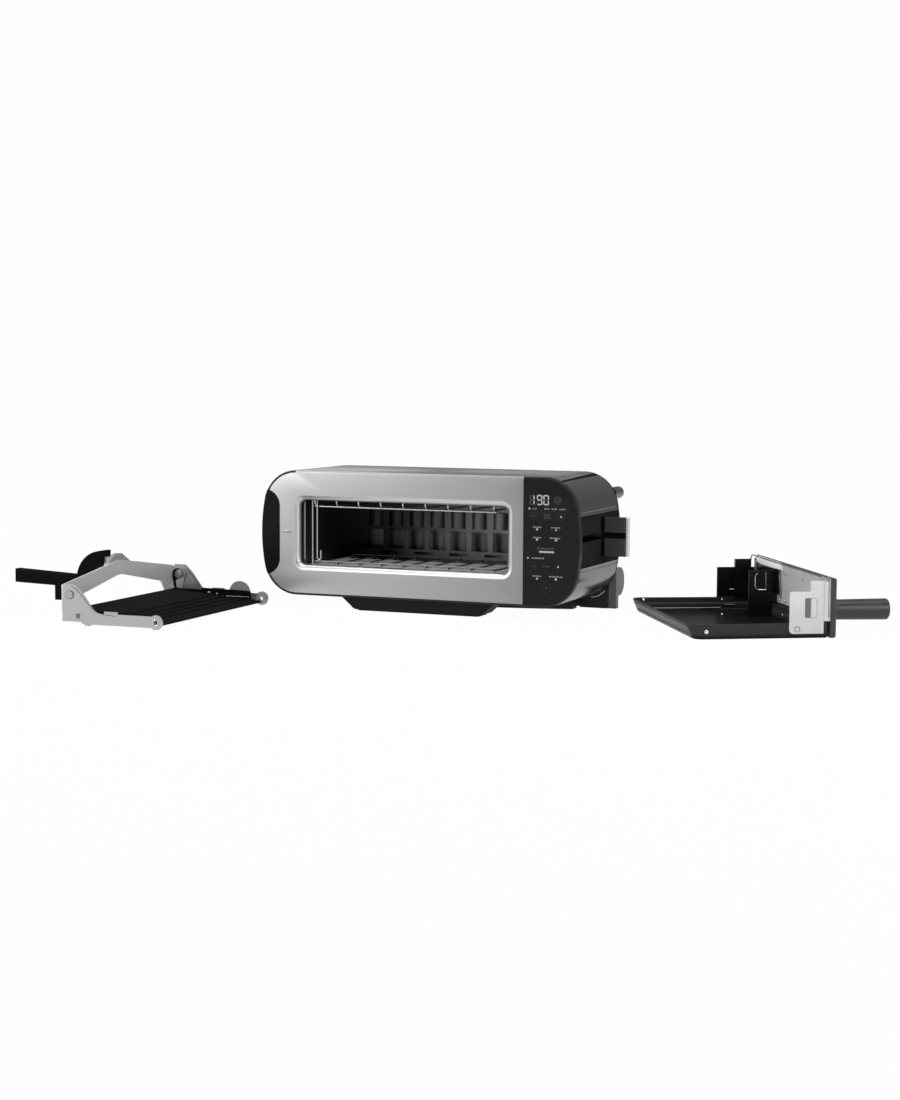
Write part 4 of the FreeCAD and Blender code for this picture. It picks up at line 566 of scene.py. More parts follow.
# %% Shape of the front sheet
SLOT_CENTRE = np.array([-21.95, 98.15])
SLOT_HALF = np.array([144.55, 41.65])
SLOT_CORNER = 7.0
LIP_RADIUS = 7.4
PANEL_LEFT = 145.0
CASE_LOW, CASE_MIDDLE, CASE_TOP = 16.5, 97.5, 178.5
CORNER_X, CORNER_HIGH, CORNER_LOW, CORNER_RADIUS = 170.6, 132.5, 62.5, 46.0
BULGE_X, BULGE_RADIUS = 10.0, 230.0


def slot_line(long_steps=70, short_steps=24, arc_steps=10):
    """Points on the slot's edge and the outward normal at each, once round."""
    angle = np.linspace(0, np.pi / 2, arc_steps) + np.arange(4)[:, None] * np.pi / 2
    normal = np.stack([np.cos(angle), np.sin(angle)], -1)
    corner = np.array([[1, 1], [-1, 1], [-1, -1], [1, -1]]) * (SLOT_HALF - SLOT_CORNER)
    arcs = SLOT_CENTRE + corner[:, None] + SLOT_CORNER * normal
    points, normals = [], []
    for quarter, steps in enumerate((long_steps, short_steps) * 2):
        share = np.linspace(0, 1, steps + 2)[1:-1, None]
        run = arcs[(quarter + 1) % 4, 0] - arcs[quarter, -1]
        points += [arcs[quarter], arcs[quarter, -1] + share * run]
        normals += [normal[quarter], np.repeat(normal[quarter, -1:], steps, axis=0)]
    return np.concatenate(points), np.concatenate(normals)


def circle_part(x, z, radius, start, stop):
    turn = np.linspace(start, stop, 200)
    return np.stack([x + radius * np.cos(turn), z + radius * np.sin(turn)], -1)


def case_line(inset, count=4000):
    """The case's outline, drawn in by inset on its left end: two arcs round the corners
    and one round the bulge, then the step up to the top edge, and the straight edge
    beside the panel."""
    lean = math.asin((CORNER_HIGH - CASE_MIDDLE) / (BULGE_RADIUS - CORNER_RADIUS))
    small = CORNER_RADIUS - inset
    upper = circle_part(-CORNER_X, CORNER_HIGH, small, np.pi / 2, np.pi - lean)
    end = circle_part(BULGE_X, CASE_MIDDLE, BULGE_RADIUS - inset, np.pi - lean, np.pi + lean)
    lower = circle_part(-CORNER_X, CORNER_LOW, small, np.pi + lean, np.pi * 1.5)
    corners = np.array([[PANEL_LEFT, CASE_LOW + inset], [PANEL_LEFT, CASE_TOP],
                        [0.2 - CORNER_X, CASE_TOP], [0.2 - CORNER_X, CASE_TOP - inset]])
    line = np.concatenate([upper, end, lower, corners, upper[:1]])
    run = np.concatenate([[0], np.cumsum(np.linalg.norm(np.diff(line, axis=0), axis=1))])
    at = np.linspace(0, run[-1], count)
    return np.stack([np.interp(at, run, side) for side in line.T], -1)


def toward_outline(points, outline):
    """Where the rays from the slot's centre through the points meet the outline."""
    angle = np.arctan2(*(outline - SLOT_CENTRE).T[::-1])
    order = np.argsort(angle)
    wanted = np.arctan2(*(points - SLOT_CENTRE).T[::-1])
    return np.stack([np.interp(wanted, angle[order], outline[order, axis], period=2 * np.pi)
                     for axis in (0, 1)], -1)


def front_sheet():
    """Rows of (x, z, depth behind the front): a point on the rear, six on the turned
    edge, and the front and the back of the lip."""
    line, normal = slot_line()
    outer = toward_outline(line + LIP_RADIUS * normal, case_line(EDGE_INSET))
    for corner in ((PANEL_LEFT, CASE_LOW + EDGE_INSET), (PANEL_LEFT, CASE_TOP)):
        nearest = np.argmin(np.linalg.norm(outer - corner, axis=1))
        outer[nearest] = corner
    top = outer[:, 1:] > CASE_TOP - 0.05
    inward = unit(np.where(top, [[0.0, -1.0]], SLOT_CENTRE - outer))
    width, depth = np.where(top, TOP_TURN, EDGE_TURN), np.where(top, TOP_SUNK, EDGE_TURN)
    rows = [np.concatenate([outer, np.full_like(width, SHEET_THICK)], 1)]
    for turn in np.linspace(0, np.pi / 2, EDGE_ROWS):
        edge = outer + inward * width * (1 - math.cos(turn))
        rows.append(np.concatenate([edge, depth * (1 - math.sin(turn))], 1))
    for radius, turns in ((LIP_RADIUS, np.linspace(0, np.pi / 2, 12)),
                          (LIP_RADIUS - SHEET_THICK, np.linspace(np.pi / 2, 0, 8))):
        for turn in turns:
            away = LIP_RADIUS - radius * math.sin(turn)
            sunk = np.full((len(line), 1), LIP_RADIUS - radius * math.cos(turn))
            rows.append(np.concatenate([line + away * normal, sunk], 1))
    return np.stack(rows)


SHEET_THICK, EDGE_INSET, EDGE_ROWS = 1.5, 2.65, 6
TOP_TURN, TOP_SUNK, EDGE_TURN = 3.0, 1.45, 0.6
sheet_rows = front_sheet()
sheet_points = case.place(sheet_rows[..., 0], FRONT_Y + sheet_rows[..., 2], sheet_rows[..., 1])
rows, columns = sheet_points.shape[:2]
front = add_piece("front_sheet", sheet_points, closed_faces(rows, columns), "case",
                  "bezel_steel", "bezel_steel", crisp=50)
front.data.materials.append(FINISH["lip_steel"])
face_row = np.repeat(np.arange(rows), columns)
on_lip = (face_row > EDGE_ROWS) & (face_row < rows - 1)
front.data.polygons.foreach_set("material_index", on_lip.astype(int).tolist())
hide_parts("front_bezel")
print("front sheet:", rows, "rows of", columns, "points")

# %% The small pressing on the left of the front
pressing = slab(oblong(-189, 97, -176.2, 101, 1.9), -0.3, 0.45, on_front, edge=0.3)
add_piece("front_pressing", *pressing, "case", "bezel_steel", "bezel_steel", crisp=60)

# %% The steel wraps over the right end, and a black seam closes it
WRAP_FRONT, WRAP_DEPTH = -70.8, 145.6


def over_end(start, stop, low, high, steps=24):
    """A sheet bent over the end at s mm along its circle: x = CORNER_X + r sin(s / R),
    z = CORNER_HIGH + r cos(s / R), but never above the case. start and stop give s at
    the front and at the rear."""
    share = np.linspace(1, 0, 13)[:, None]
    first = start[0] + share * (start[1] - start[0])
    last = stop[0] + share * (stop[1] - stop[0])
    run = first + (last - first) * np.linspace(0, 1, steps)
    bend = np.concatenate([run, run[:, ::-1]], 1) / CORNER_RADIUS
    radius = np.repeat([[high, low]], steps, axis=1)
    height = CORNER_HIGH + np.minimum(radius * np.cos(bend), radius - 0.26)
    rings = case.place(CORNER_X + radius * np.sin(bend), WRAP_FRONT + share * WRAP_DEPTH,
                       np.minimum(height, CASE_TOP - 0.02))
    return rings, capped_tube(rings)


add_piece("cover_wrap", *over_end((0.1, 0.1), (21.0, 13.5), 46.02, 46.22), "case",
          "cover_steel", "cover_steel")
add_piece("wrap_seam", *over_end((21.1, 13.6), (23.6, 20.0), 46.02, 46.26), "case",
          "deep_black", "frame_black")

# %% [markdown]
# ## Marks on the panel
# The keys are printed and lit from behind. The real panel's words are so small that they
# read as short pale bars, and the part carries no words, so each is a row of dashes.
# Only the number on the display is a real figure: seven strokes per digit.

# %% Shapes of the marks
INK_BACK, INK_FACE, INK_EDGE = 0.36, 0.44, 0.01
WORD_GAP, WORD_SWING = 0.55, 0.18


def flat_shape(corners, sides=5):
    """A printed shape is a film of ink on the panel's face."""
    return slab(corners, INK_BACK, INK_FACE, on_front, INK_EDGE, sides)


def bar(left, right, middle, height):
    bend = min(height, right - left) * 0.3
    return flat_shape(oblong(left, middle - height / 2, right, middle + height / 2, bend))


def words(left, right, middle, height, parts):
    """A printed word as a bar that is cut into dashes of uneven length."""
    cuts = np.linspace(left, right, parts + 1)
    swing = (right - left) / parts * WORD_SWING
    cuts[1:-1] += swing * np.cos(np.arange(1, parts) * 2.4)
    return [bar(start, stop - WORD_GAP, middle, height)
            for start, stop in zip(cuts, cuts[1:])]


def ring(u, v, radius, width, sides=40):
    """A printed circle: at each of its points the film's four corners."""
    turn = once_round(sides)
    reach = np.array([[radius - width], [radius], [radius], [radius - width]])
    level = np.array([[INK_BACK], [INK_BACK], [INK_FACE], [INK_FACE]])
    points = on_front(u + reach * np.cos(turn), v + reach * np.sin(turn), level + 0 * turn)
    return points, closed_faces(4, sides)


def dot(u, v, radius):
    return flat_shape(oblong(u - radius, v - radius, u + radius, v + radius, radius * 0.98))


def stroke(u, v, wide, tall, thick, name):
    """One stroke of a seven-stroke digit whose lower left corner is at (u, v): a bar
    with pointed ends, along the digit for a, d and g and up it for the others."""
    half, tip = thick / 2, thick * 0.32
    flat = name in "adg"
    if flat:
        length = wide - tip * 3.2
        start = (u + tip * 1.6, v + {"a": tall - half, "d": half, "g": tall / 2}[name])
    else:
        length = tall / 2 - tip * 2.4
        start = (u + (wide - half if name in "bc" else half),
                 v + (tall / 2 if name in "bf" else 0) + tip * 1.2)
    corners = []
    for run, side in ((0, 0), (tip, -half), (length - tip, -half), (length, 0),
                      (length - tip, half), (tip, half)):
        across, up = (run, side) if flat else (-side, run)
        corners.append((start[0] + across, start[1] + up, 0.05))
    return flat_shape(corners, 3)


DIGIT = {"1": "bc", "9": "abcdfg", "0": "abcdef"}
DIGIT_LOW, DIGIT_TALL, DIGIT_THICK = 143.9, 12.5, 1.5
lit, unlit = [], []
for figure, left, wide in (("1", 153.2, 6.4), ("9", 162.6, 7.4), ("0", 171.2, 7.4)):
    for name in "abcdefg":
        shape = stroke(left, DIGIT_LOW, wide, DIGIT_TALL, DIGIT_THICK, name)
        (lit if name in DIGIT[figure] else unlit).append(shape)
add_piece("display_number", *together(lit), "case", "mark_lit", "display_black")
add_piece("display_unlit", *together(unlit), "case", "mark_dim", "display_black")

# %% The rows of marks
BRIGHT_DOTS = ((153.1, 139.3, 1.3), (151.5, 77.9, 1.2), (163.3, 113.6, 1.35),
               (188.2, 113.6, 1.2), (163.4, 101.0, 1.5), (188.3, 101.0, 1.5),
               (163.8, 52.5, 1.3), (188.5, 52.5, 1.5), (194.6, 130.0, 1.2),
               (191.3, 68.0, 1.2))
LABELS = ((157.2, 163.4, 139.3, 1.7, 2), (172.5, 179.6, 139.3, 1.7, 2),
          (181.8, 190.0, 139.3, 1.9, 2), (192.2, 200.6, 139.3, 1.9, 3),
          (157.9, 169.4, 116.4, 1.6, 2), (181.6, 194.0, 116.4, 1.6, 3),
          (157.9, 169.4, 103.4, 1.6, 2), (180.0, 194.2, 103.4, 1.6, 3),
          (156.5, 173.6, 77.9, 1.8, 4), (157.5, 169.6, 55.6, 1.7, 3),
          (179.6, 198.0, 55.6, 1.7, 4))
FAINT_RINGS = ((157.8, 130.0, 4.4, 0.5), (176.2, 130.0, 5.4, 0.5), (194.6, 130.0, 4.4, 0.5),
               (159.7, 68.0, 4.5, 0.5), (191.3, 68.0, 4.5, 0.5), (175.8, 42.0, 6.6, 0.6))
FAINT_BARS = ((175.5, 206.0, 80.6, 0.4), (206.0, 206.5, 77.9, 5.4),
              (175.5, 206.0, 75.2, 0.4))
DIAL_X, DIAL_Z = 190.0, 150.3
bright = [dot(*row) for row in BRIGHT_DOTS] + [bar(166.2, 185.9, 86.0, 2.2)]
label = [dash for row in LABELS for dash in words(*row)]
dim = (words(163.0, 187.0, 90.2, 1.9, 4) + words(171.0, 180.6, 68.0, 1.6, 3)
       + [bar(157.9, 161.5, 68.0, 0.9), dot(175.8, 42.0, 1.1)]
       + [bar(left, left + 3.6, level, 1.1) for left in (172.2, 176.6)
          for level in (127.9, 130.0, 132.1)]
       + [ring(DIAL_X, DIAL_Z, radius, 0.6) for radius in (5.0, 3.3)]
       + [dot(DIAL_X + 2.1 * math.cos(turn), DIAL_Z + 2.1 * math.sin(turn), 0.8)
          for turn in np.linspace(0.4, 2 * np.pi + 0.4, 5)[:-1]]
       + [bar(156.2, 159.4, 130.0, 0.8), bar(157.4, 158.2, 130.0, 3.0)])
faint = [ring(*row) for row in FAINT_RINGS] + [bar(*row) for row in FAINT_BARS]
for name, shapes, finish in (("panel_lights", bright, "mark_bright"),
                             ("panel_labels", label, "mark_label"),
                             ("panel_dim_marks", dim, "mark_dim"),
                             ("panel_rings", faint, "mark_faint")):
    add_piece(name, *together(shapes), "case", finish, "panel_black")
print("marks on the panel:", len(lit + unlit + bright + label + dim + faint))

# %% [markdown]
# ## Inside the slot
# Below the wires of the slot lies a bright sheet that throws heat and light back up. A
# narrow strip of it shows, crossed by the dark wires, and makes the slot's edge glitter.
# Its finish also glows a little, as painted light in the shaded slot.

# %% The bright floor of the slot
def floor_sheet(left=-164.0, right=121.0, near=-69.5, far=55.0, level=53.6, thick=0.6):
    """Height = level + 0.25 * sin of the place along X, a slight rolled wave, with both
    long edges turned down."""
    u = np.linspace(left, right, 240)
    v = np.concatenate([[near], np.linspace(near + 1.0, far - 1.0, 12), [far]])
    u, v = np.meshgrid(u, v)
    height = level + 0.25 * np.sin(u / 2.6) - 1.2 * ((v == near) | (v == far))
    upper = case.place(u, v, height)
    lower = case.place(u, v, height - thick)
    sheet = np.concatenate([upper, lower[::-1]])
    rows, columns = sheet.shape[:2]
    last = (rows - 1) * columns
    joint = [[last + c, last + c + 1, c + 1, c] for c in range(columns - 1)]
    ends = [list(range(0, rows * columns, columns)),
            list(range(columns - 1, rows * columns, columns))[::-1]]
    return sheet, grid_faces(rows, columns, False) + joint + ends


# Painted light: the floor sheet's finish glows a little, standing in for light in the shaded
# slot.
add_piece("slot_floor", *floor_sheet(), "case", "floor_steel", "liner_steel")

# %% [markdown]
# ## The lever
# The knob is a flat block with a groove along its near face, in line with the slot that it
# travels in. A near-black slab paints the shade in the groove, so the two read as one black
# stripe.

# %% Painted shade round the knob, and a painted highlight on the rear foot
KNOB_NEAR = 12.2
# Painted shade: a near-black slab in the knob's groove stands in for the shade inside it.
groove_shade = slab(oblong(220.9, 98.4, 250.1, 105.6, 0.3), 0.0, 2.2, facing(case, KNOB_NEAR),
             edge=0.2)
add_piece("knob_groove_shade", *groove_shade, "lever", "deep_black", "gloss_black")
# Painted shadow: a near-black wire along the knob's edge stands in for the shadow in the gap
# between the knob and the end cover.
edge = bent_tube([(217.9, 6.2, 76.0), (219.0, 6.2, 97.5), (217.9, 6.2, 123.6),
                  (217.5, 15.0, 124.8), (217.5, 74.0, 124.2)], 0.9, 3.0, case.place)
add_piece("lever_gap_shadow", *edge, "case", "deep_black", "gloss_black", crisp=80)
# Painted shade: a near-black slab between the knob and the end cover stands in for the shade
# there and hides the knob's mirror image in the cover.
knob_edge_shade = slab(oblong(218.75, 76.5, 220.75, 124.0, 0.3), -3.0, 3.0,
              facing(case, KNOB_NEAR + 0.2), edge=0.1)
add_piece("knob_edge_shade_slab", *knob_edge_shade, "lever", "deep_black", "gloss_black")
# Painted highlight: a bright wire on the rear foot's near face stands in for the light that
# its edge catches.
shine = bent_tube([(180.8, 78.7, 14.3), (190.4, 78.7, 15.6), (199.9, 78.7, 23.3)], 0.5, 8.0,
                  case.place)
add_piece("foot_shine", *shine, "case", "lip_steel", "gloss_black", crisp=80)

# %% [markdown]
# ## The pan
# A deep-drawn pan has no sharp edge anywhere: its floor turns up over a radius, half way
# up the wall a ledge carries the wire rack, and the rim is rolled. Each ring of points is
# the pan's outline drawn in by some amount at some height, and the far wall leans out
# toward the free end, as the photograph shows.

# %% The pan as rings
PAN_RIGHT, PAN_NEAR, PAN_FAR, PAN_SPREAD = -2.0, 1.4, 280.6, 5.5
PAN_LEFT, PAN_FLARE, PAN_TALL, PAN_CORNER, CHEEK_BACK = -168.5, 7.0, 15.8, 12.0, -56.0
PAN_PROFILE = [(9.0, 0.0), (2.2, 0.0), (1.0, 0.25), (0.3, 0.9), (0.0, 2.0), (0.0, 14.6),
               (0.0, 16.6), (0.2, 17.3), (0.7, 17.75), (1.2, 17.75), (1.7, 17.3),
               (1.9, 16.6), (1.9, 14.6), (1.95, 11.6), (2.15, 10.8), (2.7, 10.35),
               (4.2, 10.1), (4.7, 9.8), (4.95, 9.2), (5.0, 8.0), (5.0, 4.6), (5.4, 3.2),
               (6.4, 2.1), (8.0, 1.6), (12.0, 1.5)]


def pan_ring(inset, height, steps=9):
    """The outline drawn in by inset. The free end moves in as the height falls, by
    flare * (1 - height / tall)."""
    end = PAN_LEFT + inset + PAN_FLARE * max(0.0, 1 - height / PAN_TALL)
    bend = max(PAN_CORNER - inset, 2.0)
    near, wide = PAN_NEAR + inset, PAN_FAR + PAN_SPREAD - inset
    right, far = PAN_RIGHT - inset, PAN_FAR - inset
    turn = np.linspace(0, np.pi / 2, steps)
    small, large = bend * (1 - np.sin(turn)), bend * (1 - np.cos(turn))
    near_arc = np.stack([end + small, near + large], -1)
    far_arc = np.stack([end + large, wide - small], -1)
    line = np.concatenate([[[right, near]], near_arc, far_arc,
                           [[CHEEK_BACK, far], [right, far]]])
    return tray.place(*line.T, height)


pan_points = np.stack([pan_ring(inset, height) for inset, height in PAN_PROFILE])
pan = add_piece("pan_shell", pan_points, capped_tube(pan_points), "tray_insert", "pan_black",
                "coated_black", crisp=50)
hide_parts("grill_tray")
print("pan: rings of", pan_points.shape[1], "points")

# %% [markdown]
# ## Small parts of the tray insert
# Bright rivets hold the brackets. The slots in the brackets have turned lips, and bright
# wires at their edges paint the light that the lips catch as pale hooks. Two wires run along
# the top and turn down past the far bracket.

# %% Rivets, lips and wires
def rivet(stand, u, v, level, outward, radius, height):
    points = dome(stand.place(u, v, level), outward, radius * MM, height * MM)
    return points, capped_tube(points)


toward_near = -tray.across
rivets = [rivet(tray, -147.0, 1.4, 9.0, toward_near, 2.5, 1.3),
          rivet(tray, -153.2, 283.3, 14.2, toward_near, 2.6, 1.3),
          rivet(tray, -49.3, 278.8, 13.7, toward_near, 1.9, 1.0),
          rivet(tray, -1.0, 188.0, 23.8, -tray.along, 1.6, 0.9),
          rivet(tray, -1.0, 166.0, 24.6, -tray.along, 1.9, 0.9),
          rivet(tray, -6.9, 157.0, 8.0, -tray.along, 1.7, 0.9),
          rivet(tray, -63.2, 229.7, 1.5, [0, 0, 1], 1.8, 1.0)]
heads = add_piece("tray_rivet_heads", *together(rivets), "tray_insert", "rivet_steel",
                  "rod_steel")
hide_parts("tray_rivets")

eye = rivet(tray, -38.6, -0.1, 10.8, toward_near, 2.7, 0.8)
add_piece("bracket_rivet", *eye, "tray_insert", "bracket_steel", "rod_steel")
far_face, inner_face = 280.0, 199.6
# Painted highlight: bright wires along the slots' turned edges stand in for the light those
# edges catch.
lip_highlights = wire_set(
    tray.place,
    (0.8, 2.0, [(-39.6, far_face, 27.4), (-31.0, far_face, 27.2), (-27.6, far_face, 30.6),
                (-27.3, far_face, 47.0)]),
    (0.65, 2.0, [(-26.4, inner_face, 56.4), (-29.4, inner_face, 53.6),
                 (-29.4, inner_face, 38.2), (-26.0, inner_face, 35.3),
                 (-15.2, inner_face, 35.3)]),
    (0.35, 1.0, [(-15.4, inner_face, 37.0), (-15.8, inner_face, 57.6)]))
add_piece("bracket_lip_highlights", *lip_highlights, "tray_insert", "rivet_steel", "rod_steel")

wires = wire_set(
    tray.place,
    (0.9, 7.0, [(-0.9, 0.6, 24.0), (-0.9, 0.6, 71.6), (-0.9, 289.0, 71.6),
                (-0.9, 289.0, 52.0)]),
    (0.9, 9.0, [(-7.9, 3.0, 60.0), (-7.9, 3.0, 71.6), (-7.9, 292.0, 71.6),
                (-7.9, 292.0, 46.0)]),
    (1.0, 8.0, [(-1.4, 196.0, 69.5), (-1.4, 201.5, 60.0), (-1.4, 200.5, 28.0)]),
    (0.9, 8.0, [(-1.4, 186.0, 69.5), (-1.4, 189.0, 60.0), (-1.4, 184.0, 42.0),
                (-1.4, 183.0, 26.0)]))
guard = add_piece("tray_wires", *wires, "tray_insert", "wire_dark", "guard_wire", crisp=80)
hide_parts("tray_wire_guard")

# Painted highlights: bright wires along the pan's far wall, its floor edge and its free end
# stand in for the light lines where the coating's bends catch the light.
streaks = wire_set(
    tray.place,
    (0.45, 1.0, [(-142.0, 275.2, 4.7), (-52.0, 275.2, 4.3)]),
    (0.4, 1.0, [(-47.0, 275.2, 8.2), (-33.0, 275.2, 8.0)]),
    (0.4, 1.0, [(-168.4, 270.0, 12.6), (-168.3, 14.0, 14.2)]),
    (0.4, 1.0, [(-163.9, 272.0, 4.4), (-163.9, 14.0, 4.0)]))
add_piece("pan_highlight_lines", *streaks, "tray_insert", "ridge_steel", "coated_black", crisp=80)

# %% The near bracket's window and pressing
on_bracket = facing(tray, 0.0)


def on_end_plate(u, v, level):
    return tray.place(-level, u, v)


cheek = slab([(-48.0, 5.4, 5.2), (-6.5, 5.4, 0.8), (-6.5, 67.3, 1.6), (-23.2, 67.3, 2.2),
              (-23.2, 54.8, 0.6), (-48.0, 54.8, 2.4)], -1.4, 0.0, on_bracket, edge=0.3)
cheek = add_piece("bracket_cheek", *cheek, "tray_insert", "bracket_steel", "press_steel",
                  crisp=50)
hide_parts("tray_bracket_near")
# Painted highlight: a glowing pale strip on the end plate stands in for the glare on its lit
# inner face.
glare = slab([(171.0, 62.6, 1.0), (262.0, 61.8, 1.0), (283.0, 64.2, 1.0), (283.0, 68.4, 1.0),
              (179.0, 70.6, 1.0)], 2.6, 3.0, on_end_plate, edge=0.1)
add_piece("end_plate_glare", *glare, "tray_insert", "sheet_bright", "plate_grey")
shield = slab([(187.0, 30.0, 1.0), (291.0, 30.0, 1.0), (291.0, 67.5, 1.0), (284.0, 67.5, 1.0),
               (283.0, 63.6, 1.0), (262.0, 61.2, 1.0), (187.0, 61.8, 1.0)], 3.1, 3.5,
              on_end_plate, edge=0.1)
add_piece("end_plate_shield", *shield, "tray_insert", "coated_black", "coated_black")
# Painted shade: a dark grey film in the window's recess stands in for the shade inside it.
window_shade = slab([(-29.6, 24.1, 0.6), (-22.5, 24.1, 0.3), (-22.5, 47.3, 0.3), (-29.6, 47.3, 0.6)],
              0.02, 0.2, on_bracket, edge=0.05)
add_piece("bracket_window_shade", *window_shade, "tray_insert", "lobe_grey", "frame_black")
halo = ring_on(tray, -38.6, -0.1, 10.8, 3.1, 0.35)
add_piece("bracket_halo", *halo, "tray_insert", "lobe_grey", "press_steel", crisp=80)
ridge = bent_tube([(-22.4, 0.05, 24.0), (-15.0, 0.05, 24.0), (-15.0, 0.05, 47.4),
                   (-22.4, 0.05, 47.4), (-22.4, 0.05, 24.2)], 0.42, 4.5, tray.place)
add_piece("bracket_pressing", *ridge, "tray_insert", "ridge_steel", "press_steel", crisp=80)

# %% [markdown]
# ## Small parts of the press insert
# The pivots are shoulder rivets with a turned groove, the wheels run on hollow pins with a
# flared end, and a near-black slab beside the far pivot paints the shade on the yoke's far
# cheek.

# %% Heads, flares and the painted shade beside the far pivot
ROLLER_Z = 8.8
near_out = -press.across
heads = [rivet(press, -117.4, 273.0, 37.6, near_out, 5.0, 1.3),
         rivet(press, -123.5, 274.9, 10.4, near_out, 1.5, 1.0)]
add_piece("press_heads", *together(heads), "press_base", "ridge_steel", "rod_steel")
flares = [ring_on(press, 0.0, face, ROLLER_Z, 3.6, 0.6) for face in (-2.9, 282.9)]
add_piece("press_flares", *together(flares), "press_base", "rivet_steel", "rod_steel",
          crisp=80)
eyes = [ring_on(press, -117.4, 272.9, 37.6, 6.0, 0.7),
        ring_on(press, -118.6, -0.6, 36.8, 5.0, 0.45)]
add_piece("press_eyes", *together(eyes), "press_base", "lobe_grey", "rod_steel", crisp=80)
# Painted shade: a near-black slab beside the far pivot stands in for the shadow on the yoke's
# far cheek.
far_cheek_shade = slab([(-121.5, 44.8, 2.0), (-127.9, 41.4, 3.0), (-129.2, 33.2, 2.0), (-127.0, 21.2, 2.0),
            (-123.6, 13.0, 0.8), (-121.2, 13.0, 0.8), (-123.4, 21.2, 2.0), (-124.2, 29.2, 2.0),
            (-118.0, 30.2, 1.0), (-118.0, 44.4, 1.0)], 0.02, 0.6, facing(press, 275.0),
           edge=0.15, sides=4)
add_piece("press_far_cheek_shade", *far_cheek_shade, "press_arm", "deep_black", "frame_black")
folds = wire_set(
    press.place,
    (0.3, 6.0, [(-116.6, -0.15, 47.4), (-110.4, -0.15, 44.6), (-102.0, -0.15, 36.6),
                (-93.6, -0.15, 26.2), (-84.6, -0.15, 18.4), (-75.0, -0.15, 14.9),
                (-56.0, -0.15, 13.6)]),
    (0.35, 6.0, [(-108.7, 277.9, 43.4), (-98.3, 277.9, 32.2), (-89.4, 277.9, 20.6)]))
add_piece("press_folds", *folds, "press_base", "cover_grey", "press_steel", crisp=80)
notch = slab(oblong(-110.4, 9.0, -105.6, 14.4, 0.5), 0.0, 0.3, facing(press, 0.0), edge=0.1)
add_piece("press_notch", *notch, "press_base", "lobe_grey", "press_steel")

# %% The press plate's far upstand
upstand = slab([(-84.0, 3.2, 1.0), (-11.0, 3.2, 1.0), (-11.0, 18.8, 2.5), (-84.0, 20.2, 2.5)],
               0.0, 1.0, facing(press, 271.98), edge=0.3)
add_piece("plate_upstand", *upstand, "press_plate", "plate_black", "coated_black")
line = bent_tube([(-84.0, 270.9, 10.6), (-12.5, 270.9, 10.8)], 0.45, 1.0, press.place)
studs = [rivet(press, -72.6, 271.0, 13.8, near_out, 2.2, 1.4),
         rivet(press, -60.6, 271.0, 12.8, near_out, 1.6, 0.9), line]
add_piece("upstand_studs", *together(studs), "press_plate", "ridge_steel", "rod_steel",
          crisp=80)

# %% [markdown]
# ## The camera
# The photograph is 900 by 1100 pixels. The case, both inserts and their known shapes
# gave one camera that agrees with all three: its place, where it looks, its small roll
# and its focal length in pixels. The lens follows from that length and the height.

# %% Place the camera
FOCAL_PIXELS, PHOTO_HEIGHT, SENSOR_HEIGHT = 2069.51, 1100, 36.0
PITCH, ROLL, YAW = (math.radians(angle) for angle in (5.1296, 0.3083, -22.7114))
CAMERA_PLACE = np.array([1.0491, -2.4743, 0.3165])


def camera_axes(pitch, roll, yaw):
    """ahead = (sin y cos p, cos y cos p, -sin p); right is level and at right angles to
    it, up is their cross product, and the roll turns right and up about ahead."""
    ahead = np.array([math.sin(yaw) * math.cos(pitch), math.cos(yaw) * math.cos(pitch),
                      -math.sin(pitch)])
    level = np.array([math.cos(yaw), -math.sin(yaw), 0.0])
    upright = np.cross(level, ahead)
    right = math.cos(roll) * level + math.sin(roll) * upright
    up = -math.sin(roll) * level + math.cos(roll) * upright
    return right, up, ahead


def stand_at(thing, place, right, up, ahead):
    """Puts a camera or a lamp at a place. It looks along its own -Z, so its axes are
    right, up and the reverse of ahead."""
    axes = np.column_stack([right, up, -np.asarray(ahead), place])
    thing.matrix_world = Matrix(np.vstack([axes, [0, 0, 0, 1]]).tolist())
    bpy.context.scene.collection.objects.link(thing)


lens = bpy.data.cameras.new("view")
lens.sensor_fit = "VERTICAL"
lens.sensor_height = SENSOR_HEIGHT
lens.lens = FOCAL_PIXELS / PHOTO_HEIGHT * SENSOR_HEIGHT
camera = bpy.data.objects.new("view", lens)
stand_at(camera, CAMERA_PLACE, *camera_axes(PITCH, ROLL, YAW))
bpy.context.scene.camera = camera
print("lens", round(lens.lens, 2), "mm")

# %% [markdown]
# ## The studio
# A white sweep under and behind the object, a dark paper far in front for the polished
# faces to mirror, one broad light above and a softer one on each side. The camera sees
# the world as white and mirrors see it darker, so the shapes keep their shading.

# %% Floor and backdrop
FLOOR_FRONT, FLOOR_DROP, HALF_WIDTH = -6.0, 0.0004, 7.0


def sweep(depth=5.0, height=4.0, radius=1.2, sides=24):
    """A floor that runs back, turns up on a quarter circle and goes on as a wall."""
    turn = np.linspace(0, np.pi / 2, sides)
    y = np.concatenate([[FLOOR_FRONT], depth + radius * np.sin(turn), [depth + radius]])
    z = np.concatenate([[0.0], radius - radius * np.cos(turn), [height]]) - FLOOR_DROP
    x = np.array([[-HALF_WIDTH, HALF_WIDTH]])
    return np.stack(np.broadcast_arrays(x, y[:, None], z[:, None]), -1)


